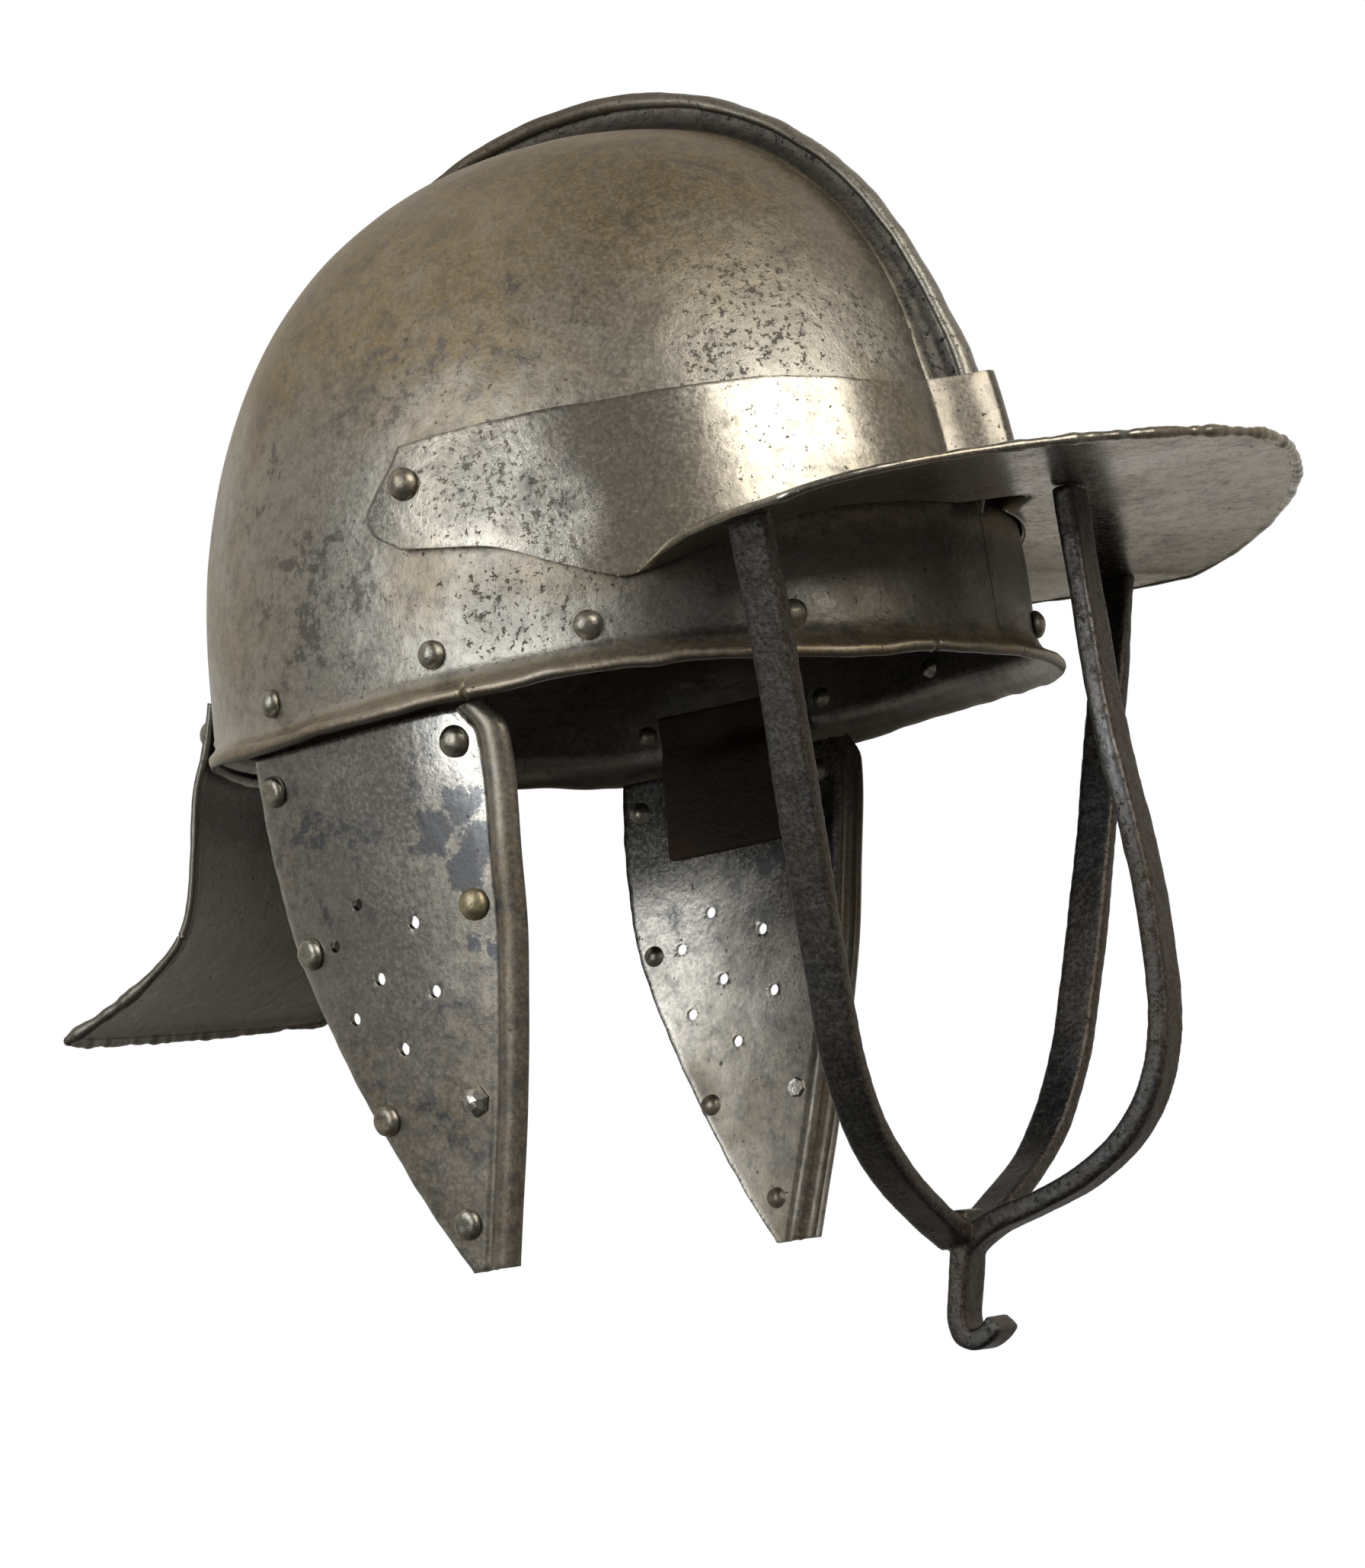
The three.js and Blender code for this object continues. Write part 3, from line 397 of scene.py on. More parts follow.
def rim_flare(turn, out):
    back = smoothstep(-np.cos(turn), RIM_LINE["flare_from"], RIM_LINE["flare_to"])
    narrowed = -PLATE / 2 + (out + PLATE / 2) * mix(1, RIM_LINE["back_flare"], back)
    return mix(out, narrowed, smoothstep(out, RIM_FLARED["start"], RIM_FLARED["full"]))


def skull_columns(side):
    """Turns round one half, close together at the rim's cracks."""
    turns = list(np.linspace(SEAM_TURN, math.pi - SEAM_TURN, SKULL_COLUMNS))
    for x, crack_side, half_width in zip(RIM_CRACKS["x"], RIM_CRACKS["side"], RIM_CRACKS["half_width"]):
        if crack_side == side:
            middle = abs(turn_at_x(x, side))
            turns.extend(middle + offset * half_width / SKULL["half_width"] for offset in CRACK_OFFSETS)
    return side * np.sort(np.array(turns))


def crack_depth(turn, side):
    depth = np.zeros_like(turn)
    for x, crack_side, half_width, deepest in zip(*RIM_CRACKS.values()):
        if crack_side == side:
            away = np.abs(turn - turn_at_x(x, side)) * SKULL["half_width"] / half_width
            depth += deepest * np.clip(1 - away, 0, 1)
    return depth


def climb(steps, crown):
    """Heights that follow the skull's curve evenly, for steps from 0 at the wall to 1 at the crown."""
    share = np.sin(np.pi / 2 * steps) ** (2 / SKULL["round_up"])
    return SKULL["wall"] + (crown - SKULL["wall"]) * share


def skull_shell(side):
    """One half of the bowl: down its inside, round the turned rim and up its outside."""
    inside_crown = SKULL["crown"] - PLATE
    inside = climb(np.linspace(1, 0, INNER_ROWS), inside_crown)
    rim = smooth_way(np.stack([RIM_SECTION["out"], RIM_SECTION["z"]], -1), RIM_ROWS)
    outside = climb(np.linspace(0, 1, OUTER_ROWS), SKULL["crown"])
    z = np.concatenate([inside, rim[:, 1], outside])[:, None]
    out = np.concatenate([np.full(INNER_ROWS, -PLATE), rim[:, 0], np.zeros(OUTER_ROWS)])[:, None]
    crown = np.full(z.shape, SKULL["crown"])
    crown[:INNER_ROWS] = inside_crown
    turn = skull_columns(side)[None, :]
    cracked = crack_depth(turn, side) * smoothstep(out, RIM_LIP["start"], RIM_LIP["cracked"])
    points = skull_point(turn, z, rim_flare(turn, out) - cracked, crown)
    points[..., 2] += rim_shift(turn, z)
    points[..., 2] += smoothstep(out, RIM_LIP["start"], RIM_LIP["waved"]) * uneven(points, **RIM_WAVE)
    plain = points[INNER_ROWS + RIM_ROWS:]
    hammered = uneven(plain, **HAMMER_BROAD) + uneven(plain, **HAMMER_CLOSE)
    hammered *= smoothstep(plain[..., 2], HAMMERED["from_z"], HAMMERED["full_z"])
    points[INNER_ROWS + RIM_ROWS:] += grid_normals(plain, SKULL_MIDDLE) * hammered[..., None]
    return points


# The comb

def comb_way(degrees):
    """Places along the comb's foot in the middle plane, and the directions out of the skull there."""
    def place(angle):
        up = np.maximum(np.sin(angle), 0) ** (2 / SKULL["round_up"])
        z = SKULL["wall"] + (SKULL["crown"] - SKULL["wall"]) * up
        x = SKULL["half_length"] * signed_power(np.cos(angle), 2 / SKULL["round_down"])
        return np.stack([x + skull_lean(z), np.zeros_like(z), z], -1)
    angle = np.radians(degrees)
    ahead = unit(place(angle + STEP) - place(angle - STEP))
    out = np.stack([ahead[:, 2], np.zeros(len(angle)), -ahead[:, 0]], -1)
    return place(angle), out


def outside_skull(points):
    """Above 0 outside the skull and below 0 inside it."""
    z = points[..., 2]
    up = np.clip((z - SKULL["wall"]) / (SKULL["crown"] - SKULL["wall"]), 0, None)
    forward = (points[..., 0] - skull_lean(z)) / SKULL["half_length"]
    aside = points[..., 1] / (SKULL["half_width"] * (1 - SKULL["taper"] * np.clip(forward, -1, 1)))
    power = SKULL["squareness"]
    share = (np.abs(forward) ** power + np.abs(aside) ** power) ** (1 / power)
    return up ** SKULL["round_up"] + share ** SKULL["round_down"] - 1


def skull_height(middle, out, aside):
    """How far the skull's surface lies along out from the middle plane's place, at a distance aside."""
    low = np.full(aside.shape, -float(COMB_SEARCH["down"]))
    high = np.full(aside.shape, float(COMB_SEARCH["up"]))
    start = middle + aside[..., None] * ASIDE

    def above(distance):
        return outside_skull(start + out * distance[..., None]) > 0

    return halve(low, high, COMB_SEARCH["halvings"], above)


def comb_half(side):
    """The comb on one side of the seam; the left half's edge is folded over the right half's."""
    turns = np.linspace(COMB["turn"][0], COMB["turn"][-1], COMB_STATIONS)
    middle, out = comb_way(turns)
    height = read(COMB, "turn", "height", turns)[:, None]
    size = height / COMB_FULL_HEIGHT
    wall = SEAM + COMB_WALL * size
    share = np.linspace(1, 0, COMB_FILLET["steps"])[None, :]
    aside = wall + COMB_FILLET["reach"] * size * share
    foot = skull_height(middle[:, None, :], out[:, None, :], side * aside)
    rise = COMB_FILLET["height"] * size * (1 - np.sqrt(1 - (1 - share) ** 2))
    sunk = COMB_FILLET["sink"] * share ** COMB_FILLET["sink_power"]
    across = [aside]
    up = [foot * share + rise - sunk]
    if side == LEFT:
        bead = smooth_way(np.stack([COMB_BEAD["across"], COMB_BEAD["down"]], -1), COMB_BEAD_POINTS)
        across.append(wall + bead[None, :, 0] * size)
        up.append(height - bead[None, :, 1] * size)
    else:
        top = height - COMB_WALL * size - GAP
        across.append(np.concatenate([wall, wall, wall - COMB_WALL * size], axis=1))
        up.append(np.concatenate([mix(rise[:, -1:], top, 0.5), top, top], axis=1))
    across = np.concatenate(across, axis=1)
    up = np.concatenate(up, axis=1)
    points = middle[:, None, :] + out[:, None, :] * up[..., None]
    points[..., 1] += side * across
    worked = uneven(points, **COMB_WORK)
    worked *= smoothstep(up / height, COMB_WORKED["start"], COMB_WORKED["full"])
    return points + out[:, None, :] * worked[..., None]


def skull_half(side):
    return Surface().grid(skull_shell(side)).grid(comb_half(side))


# The visor

def band_point(turn_degrees, z):
    aside = np.abs(turn_degrees)
    stand = EAR_STANDOFF * smoothstep(aside, EAR_FROM, EAR_FULL)
    point = on_skull(np.radians(turn_degrees), z, BAND_GAP + PLATE / 2 + stand)
    share = np.clip(np.abs(point[..., 1]) / RIDGE["half_width"], 0, 1)
    point[..., 0] += RIDGE["height"] * np.cos(share * np.pi / 2) ** 2
    return point


def peak_edge(turn_degrees):
    """The peak's edge in the direction of a turn from the front, found by halving along a ray in plan."""
    turn = np.radians(np.abs(turn_degrees))
    near = np.full(turn.shape, float(PEAK["search_from"]))
    far = np.full(turn.shape, float(PEAK["search_to"]))

    def ahead(x):
        return np.clip((x - PEAK["widest_x"]) / (PEAK["tip"] - PEAK["widest_x"]), 0, None)

    def outside(reach):
        x = reach * np.cos(turn)
        y = reach * np.sin(turn)
        behind = np.clip(PEAK["widest_x"] - x, 0, None)
        past_tip = ahead(x) ** PEAK["outline"] + (y / PEAK["half_width"]) ** PEAK["outline"] > 1
        past_side = y > PEAK["half_width"] - PEAK["side_fall"] * behind ** PEAK["fall_power"]
        return np.where(x > PEAK["widest_x"], past_tip, past_side)

    reach = halve(near, far, PEAK["halvings"], outside)
    x = reach * np.cos(turn)
    z = PEAK["side_z"] + PEAK["tip_rise"] * ahead(x) ** PEAK["rise_power"]
    return np.stack([x, np.sign(turn_degrees) * reach * np.sin(turn), z], -1)


def peak_lip(turn_degrees):
    """Root and edge of the peak: its width runs out smoothly where the ears begin."""
    root = band_point(turn_degrees, read(BAND_FOLD, "turn", "z", np.abs(turn_degrees)))
    ragged = wave(turn_degrees, **PEAK_EDGE_WAVE)[:, None]
    left = 1 - smoothstep(np.abs(turn_degrees), PEAK["fade_from"], PEAK["fade_to"])
    edge = peak_edge(turn_degrees)
    edge += unit(edge - root) * ragged
    return root, mix(root, edge, left[:, None])


def band_turns():
    """Places along the band by column, and rows by row: turns and heights that end on the ear's outline."""
    column = np.linspace(-1, 1, BAND_COLUMNS)[None, :]
    row = np.linspace(0, 1, BAND_ROWS)[:, None]
    aside = np.abs(column)
    ear = np.clip((aside - (1 - EAR_SHARE)) / EAR_SHARE, 0, 1)
    turn = np.broadcast_to(aside / (1 - EAR_SHARE) * EAR_FROM, (BAND_ROWS, BAND_COLUMNS)).copy()
    for _ in range(BAND_SETTLING):
        top = read(BAND_TOP, "turn", "z", turn) + wave(turn * np.sign(column), **BAND_EDGE_WAVE)
        fold = read(BAND_FOLD, "turn", "z", turn)
        z = mix(top, fold, row)
        end = read(EAR_END, "z", "turn", z)
        turn = np.where(ear > 0, mix(EAR_FROM, end, ear), aside / (1 - EAR_SHARE) * EAR_FROM)
    return turn * np.sign(column), z


def visor_surface():
    turn, z = band_turns()
    band = band_point(turn, z)
    columns = np.abs(turn[-1]) < PEAK["fade_to"]
    root, edge = peak_lip(turn[-1, columns])
    length = np.maximum(np.linalg.norm(edge - root, axis=-1), SHORTEST)[:, None]
    share = np.linspace(0, 1, PEAK_ROWS)[:, None, None]
    peak = mix(root, edge, share)
    # The fold is a round bend: points near it slide onto a curve between the band and the peak
    above = np.clip(np.linalg.norm(band[:, columns] - root, axis=-1) / FOLD["band_reach"], 0, 1)
    below = np.clip(share[..., 0] * length.T / FOLD["peak_reach"], 0, 1)
    reach = np.minimum(FOLD["peak_reach"], length * FOLD["most"])
    out = unit(edge - root) * reach
    up = unit(band[-2, columns] - root) * FOLD["band_reach"]
    band[:, columns] += out[None] * ((1 - above) ** 2 / 4)[..., None]
    peak += up[None] * ((1 - below) ** 2 / 4)[..., None]
    return Surface().grid(band).grid(peak)


def border_surface():
    """The rolled border of the peak, crimped and ragged at the tip."""
    turn = np.linspace(-PEAK["fade_to"], PEAK["fade_to"], BORDER["stations"])
    edge = peak_lip(turn)[1]
    way = smooth_way(edge[::BORDER["way_step"]], BORDER["stations"], BORDER["fine"])
    from_front = np.degrees(np.abs(np.arctan2(way[:, 1], way[:, 0])))
    tip = 1 - smoothstep(from_front, BORDER["tip_full"], BORDER["tip_from"])
    radius = mix(BORDER["radius"], BORDER["tip_radius"], tip)
    radius += uneven(way, **BORDER_CRIMP) * tip + uneven(way, **BORDER_WEAR)
    station = np.arange(len(way))
    ends = smoothstep(np.minimum(station, station[::-1]), 0, BORDER["thin_ends"])
    radius *= mix(BORDER["end_share"], 1, ends)
    outward = unit(np.cross(unit(np.gradient(way, axis=0)), UP))
    return tube(way, radius, outward, np.broadcast_to(UP, way.shape))


# The face guard

def bar_section(width, thickness):
    """A bar's section with rounded corners, as places across and out."""
    corner = np.linspace(0, np.pi / 2, BAR_CORNER_STEPS + 1)
    points = []
    for quarter, (sign_x, sign_y) in enumerate(((1, 1), (-1, 1), (-1, -1), (1, -1))):
        middle = np.array((sign_x * (width / 2 - BAR_ROUND), sign_y * (thickness / 2 - BAR_ROUND)))
        angle = corner + quarter * np.pi / 2
        points.append(middle + BAR_ROUND * np.stack([np.cos(angle), np.sin(angle)], -1))
    return np.vstack(points)


def bar_grid(way, section, wide_direction):
    way = smooth_way(way, BAR_STATIONS)
    outline = bar_section(section["width"], section["thickness"])
    along = unit(np.gradient(way, axis=0))
    wide = unit(wide_direction - along * (along @ wide_direction)[:, None])
    thick = np.cross(along, wide)
    across = wide[:, None, :] * outline[None, :, :1]
    return way[:, None, :] + across + thick[:, None, :] * outline[None, :, 1:]


def cut_below_peak(grid):
    """Squares a bar's top off just below the peak's underside."""
    turn = np.degrees(np.arctan2(grid[..., 1], grid[..., 0]))
    root, edge = peak_lip(turn.ravel())
    reach = np.linalg.norm(grid[..., :2].reshape(-1, 2), axis=-1)
    inner = np.linalg.norm(root[:, :2], axis=-1)
    outer = np.linalg.norm(edge[:, :2], axis=-1)
    share = np.clip((reach - inner) / np.maximum(outer - inner, SHORTEST), 0, 1)
    ceiling = mix(root[:, 2], edge[:, 2], share).reshape(turn.shape) - PLATE / 2 - GAP
    high = grid[..., 2] > 0
    grid[..., 2] = np.where(high, np.minimum(grid[..., 2], ceiling), grid[..., 2])
    return grid


def guard_surface():
    surface = Surface()
    for table, section in ((MIDDLE_BAR, MIDDLE_BAR_SECTION), (HOOK, HOOK_SECTION)):
        way = np.stack([table["x"], np.zeros(len(table["x"])), table["z"]], -1)
        surface.grid(cut_below_peak(bar_grid(way, section, ASIDE)), True, True)
    for side in (RIGHT, LEFT):
        way = np.stack([SIDE_BAR["x"], side * np.array(SIDE_BAR["y"]), SIDE_BAR["z"]], -1)
        surface.grid(cut_below_peak(bar_grid(way, SIDE_BAR_SECTION, FORE)), True, True)
    return surface


# The cheek pieces and their leathers

def cheek_out(x, z):
    aside = (x - CHEEK["middle_x"]) / CHEEK["span_x"]
    return CHEEK["out"] + CHEEK["lean"] * z - CHEEK["bulge"] * aside ** 2


def roll_rise(behind):
    """How far the rolled edge stands proud at a distance behind the front edge."""
    share = 2 * behind / CHEEK["roll"] - 1
    roll = CHEEK["roll_height"] * np.sqrt(np.clip(1 - share ** 2, 0, None))
    groove = -CHEEK["groove"] * np.sin(np.pi * np.clip(share - 1, 0, 1))
    return np.where(share < 1, roll, groove)


def cheek_front(z):
    return read(CHEEK_FRONT, "z", "x", z)


def cheek_back(z):
    return read(CHEEK_BACK, "z", "x", z) + wave(z, **CHEEK_EDGE_WAVE)


def roll_width(front, back):
    return np.minimum(CHEEK["roll"], (front - back) * CHEEK["roll_most"])


def cheek_surface(side):
    """The cheek's middle surface with its ear holes, meshed between its edges."""
    z = np.linspace(CHEEK["top"], CHEEK["bottom"], CHEEK_ROWS)[:, None]
    front = cheek_front(z)
    back = cheek_back(z)
    roll = roll_width(front, back)
    rolled = (1 - np.cos(np.linspace(0, np.pi, CHEEK_ROLL_COLUMNS)))[None, :] / 2 * roll
    plain = np.linspace(0, 1, CHEEK_BACK_COLUMNS + 1)[None, 1:]
    behind = np.concatenate([rolled, mix(roll, front - back, plain)], axis=1)
    flat = np.stack([front - behind, np.broadcast_to(z, behind.shape)], -1).reshape(-1, 2)
    columns = behind.shape[1]
    clear = np.ones(len(flat), bool)
    loops = []
    radius = EAR_HOLE["diameter"] / 2
    angle = round_angles(EAR_HOLE["sides"])
    for x, hole_z in zip(*EAR_HOLES.values()):
        middle = np.array((x, hole_z))
        clear &= np.linalg.norm(flat - middle, axis=1) > radius + EAR_HOLE["clear"]
        loops.append(middle + radius * np.stack([np.cos(angle), np.sin(angle)], -1))
    kept = np.flatnonzero(clear)
    number = np.full(len(flat), -1)
    number[kept] = np.arange(len(kept))
    last = len(flat) - columns
    outline = [*range(columns), *range(2 * columns - 1, len(flat), columns)]
    outline += [*range(len(flat) - 2, last - 1, -1), *range(last - columns, 0, -columns)]
    rim = number[outline]
    edges = list(zip(rim.tolist(), np.roll(rim, -1).tolist()))
    points = [*flat[kept].tolist()]
    for loop in loops:
        start = len(points)
        points.extend(loop.tolist())
        count = len(loop)
        edges.extend((start + i, start + (i + 1) % count) for i in range(count))
    meshed = geometry.delaunay_2d_cdt([Vector(p) for p in points], edges, [], 0, MESHING)
    plan = np.array([tuple(p) for p in meshed[0]])
    faces = np.array(meshed[2])
    middles = plan[faces].mean(1)
    inside = middles[:, 0] < cheek_front(middles[:, 1])
    inside &= middles[:, 0] > cheek_back(middles[:, 1])
    for x, hole_z in zip(*EAR_HOLES.values()):
        away = np.linalg.norm(middles - np.array((x, hole_z)), axis=1)
        inside &= away > radius * EAR_HOLE["inside"]
    place_front = cheek_front(plan[:, 1])
    place_back = cheek_back(plan[:, 1])
    place_roll = roll_width(place_front, place_back)
    rise = roll_rise((place_front - plan[:, 0]) * CHEEK["roll"] / place_roll)
    out = cheek_out(plan[:, 0], plan[:, 1]) + rise - PLATE / 2
    solid = np.stack([plan[:, 0], side * out, plan[:, 1]], -1)
    solid[:, 1] += side * uneven(solid, seed=CHEEK_WORK_SEED * side, **CHEEK_WORK)
    return Surface().triangles(solid, faces[inside].tolist())


def strap_surface(side):
    z = np.linspace(STRAP["top"], STRAP["bottom"], STRAP["rows"])[:, None]
    x = np.linspace(STRAP["front_x"], STRAP["back_x"], STRAP["columns"])[None, :]
    wall = np.abs(skull_point(turn_at_x(x, side), z, -PLATE)[..., 1])
    hung = mix(wall, cheek_out(x, z) - PLATE, smoothstep(-z, -STRAP["skull_to"], -STRAP["cheek_from"]))
    y = side * (hung - STRAP["clearance"] - STRAP["thickness"] / 2)
    return Surface().grid(np.stack(np.broadcast_arrays(x, y, z), -1))


# The neck guard

def neck_point(across, z):
    out = read(NECK, "z", "out", z)
    half_width = read(NECK, "z", "half_width", z)
    bend = read(NECK, "z", "bend", z)
    x = -SKULL["half_length"] - out + bend * np.abs(across) ** SKULL["squareness"]
    low = smoothstep(-z, -NECK_TWIST["from_z"], -NECK_TWIST["to_z"])
    return np.stack(np.broadcast_arrays(x, across * half_width, z + NECK_TWIST["most"] * across * low), -1)


def neck_border():
    """The rolled border down both sides and along the ragged lip."""
    down = np.linspace(NECK["z"][0], NECK["z"][-1], NECK_HEM["stations"])
    along = np.linspace(-1, 1, NECK_HEM["stations"])
    lip = neck_point(along, np.full(NECK_HEM["stations"], float(NECK["z"][-1])))
    edges = np.vstack([neck_point(-1.0, down), lip[1:-1], neck_point(1.0, down[::-1])])
    way = smooth_way(edges, NECK_HEM["points"], NECK_HEM["fine"])
    low = smoothstep(-way[:, 2], NECK_HEM["lip_from"], NECK_HEM["lip_full"])
    ragged = uneven(way, **NECK_RAGGED) * mix(NECK_HEM["side_ragged"], 1, low)
    radius = mix(NECK_HEM["radius"], NECK_HEM["lip_radius"], low) + ragged
    ahead = unit(np.gradient(way, axis=0))
    first = unit(np.cross(ahead, HEM_ACROSS))
    drooped = way - UP * (low * NECK_HEM["droop"])[:, None]
    return tube(drooped, radius, first, np.cross(ahead, first))


def neck_surface():
    row = np.linspace(0, 1, NECK_ROWS)[:, None] ** NECK_ROW_SPREAD
    across = np.linspace(-1, 1, NECK_COLUMNS)[None, :]
    z = mix(NECK["z"][0], NECK["z"][-1], row)
    points = neck_point(across, z)
    normal = unit(np.cross(np.gradient(points, axis=1), np.gradient(points, axis=0)))
    normal *= np.where(normal[..., :1] < 0, -1, 1)
    side = (1 - np.abs(across)) * read(NECK, "z", "half_width", z)
    steps = np.linalg.norm(np.diff(points, axis=0), axis=-1)
    below = np.concatenate([np.cumsum(steps[::-1], axis=0)[::-1], np.zeros((1, NECK_COLUMNS))])
    edge = np.minimum(side, below)
    hem = NECK_HEM["height"] * np.sin(np.pi * np.clip(edge / NECK_HEM["width"], 0, 1))
    points += normal * hem[..., None]
    return Surface().grid(points)


# Rivets

def dome_grid(place, direction, radius, height, seed, flat=0.0, sides=RIVET_SIDES, count=RIVET_RINGS):
    """A rivet's domed head on a short shank, hammered a little out of round."""
    lift = np.linspace(0, np.pi / 2, count)
    domed = height * np.sin(lift) * (1 - flat * np.sin(lift) ** FLAT_POWER)
    rings = np.concatenate([[-RIVET_SHANK["length"], 0], domed])
    shank = [radius * RIVET_SHANK["share"], radius * RIVET_SHANK["collar"]]
    wide = np.concatenate([shank, radius * np.cos(lift)])
    angle = round_angles(sides)[:, None]
    direction = unit(np.asarray(direction, float))
    first = unit(np.cross(direction, RIVET_ASKEW))
    ring = first * np.cos(angle) + np.cross(direction, first) * np.sin(angle)
    points = place + direction * rings[:, None, None] + ring[None] * wide[:, None, None]
    wear_and_highlight = uneven(points + seed * SEED_STEP, **RIVET_WORN) * (rings > 0)[:, None]
    return points + unit(points - place + direction * RIVET_OFF_CENTRE) * wear_and_highlight[..., None]


# Meshes into pieces

def mesh_object(name, surface):
    mesh = bpy.data.meshes.new(name)
    mesh.from_pydata((surface.points * MM).tolist(), [], surface.faces)
    work = bmesh.new()
    work.from_mesh(mesh)
    bmesh.ops.remove_doubles(work, verts=work.verts, dist=MERGED)
    bmesh.ops.dissolve_degenerate(work, edges=work.edges, dist=DEGENERATE)
    bmesh.ops.recalc_face_normals(work, faces=work.faces)
    work.to_mesh(mesh)
    work.free()
    obj = bpy.data.objects.new(name, mesh)
    bpy.context.scene.collection.objects.link(obj)
    return obj


def apply_modifiers(obj):
    graph = bpy.context.evaluated_depsgraph_get()
    made = bpy.data.meshes.new_from_object(obj.evaluated_get(graph))
    obj.modifiers.clear()
    obj.data = made


def thicken(obj, thickness, bevel):
    solid = obj.modifiers.new("plate", "SOLIDIFY")
    solid.thickness = thickness * MM
    solid.offset = 0
    solid.use_even_offset = True
    solid.use_quality_normals = True
    edge = obj.modifiers.new("edge", "BEVEL")
    edge.width = bevel * MM
    edge.segments = BEVEL_SEGMENTS
    edge.limit_method = "ANGLE"
    edge.angle_limit = math.radians(BEVEL_ANGLE)
    apply_modifiers(obj)


def vectors_of(items, field):
    flat = np.empty(len(items) * 3, np.float32)
    items.foreach_get(field, flat)
    return flat.reshape(-1, 3)


def mesh_points(mesh):
    return vectors_of(mesh.vertices, "co") / MM


def move_points(mesh, points):
    mesh.vertices.foreach_set("co", (points * MM).astype(np.float32).ravel())
    mesh.update()


def mesh_normals(mesh):
    return vectors_of(mesh.vertex_normals, "vector")


def ridges_and_hollows(mesh):
    """How far each point stands out on a ridge, above 0, or lies in a hollow, below 0."""
    points = mesh_points(mesh)
    normals = mesh_normals(mesh)
    pairs = np.empty(len(mesh.edges) * 2, np.int32)
    mesh.edges.foreach_get("vertices", pairs)
    pairs = pairs.reshape(-1, 2)
    ends = np.concatenate([pairs, pairs[:, ::-1]])
    count = np.maximum(np.bincount(ends[:, 0], minlength=len(points)), 1)
    ways = unit(points[ends[:, 0]] - points[ends[:, 1]])
    lean = np.sum(normals[ends[:, 0]] * ways, -1)

    def around(values):
        return np.bincount(ends[:, 0], values, minlength=len(points)) / count

    raised = around(lean)
    for _ in range(WEAR_BLURS):
        raised = mix(around(raised[ends[:, 1]]), raised, BLUR_KEPT)
    return raised


def set_attribute(mesh, name, values):
    layer = mesh.attributes.new(name, "FLOAT", "POINT")
    layer.data.foreach_set("value", np.clip(values, 0, 1).astype(np.float32))


def spots(points, table):
    """How strongly the named soft spots of a table cover each point."""
    cover = np.zeros(len(points))
    for x, y, z, radius, strength in zip(*table.values()):
        away = np.linalg.norm(points - np.array((x, y, z)), axis=1) / radius
        cover = np.maximum(cover, strength * np.exp(-away ** 2))
    return cover


def make_piece(obj, material, body, nodes, covers=None, smooth=True):
    """Finishes a piece: smooth shading, its wear and painted light, its finish, the body that it rides on and
    its nodes.
    """
    mesh = obj.data
    mesh.polygons.foreach_set("use_smooth", np.full(len(mesh.polygons), smooth))
    raised = ridges_and_hollows(mesh)
    set_attribute(mesh, "ridge", smoothstep(raised, *RIDGE_RAISED))
    set_attribute(mesh, "hollow", smoothstep(-raised, *HOLLOW_SUNK))
    for name in MARKS:
        set_attribute(mesh, name, (covers or {}).get(name, np.zeros(len(mesh.vertices))))
    mesh.materials.clear()
    mesh.materials.append(material)
    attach(obj, body)
    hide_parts(*nodes)
    return obj


# Materials

class Nodes:
    """A tree of shading nodes, joined by short calls."""

    def __init__(self, tree):
        self.tree = tree

    def put(self, socket, value):
        """Sets a socket, or joins it to another node's output."""
        if isinstance(value, bpy.types.NodeSocket):
            self.tree.links.new(value, socket)
        elif hasattr(socket.default_value, "__len__") and len(socket.default_value) == 4:
            socket.default_value = (*value, 1)
        else:
            socket.default_value = value

    def new(self, kind):
        return self.tree.nodes.new(f"ShaderNode{kind}")

    def fill(self, node, inputs):
        """Puts a node's inputs, by name or number."""
        for name, value in inputs.items():
            self.put(node.inputs[name], value)
        return node


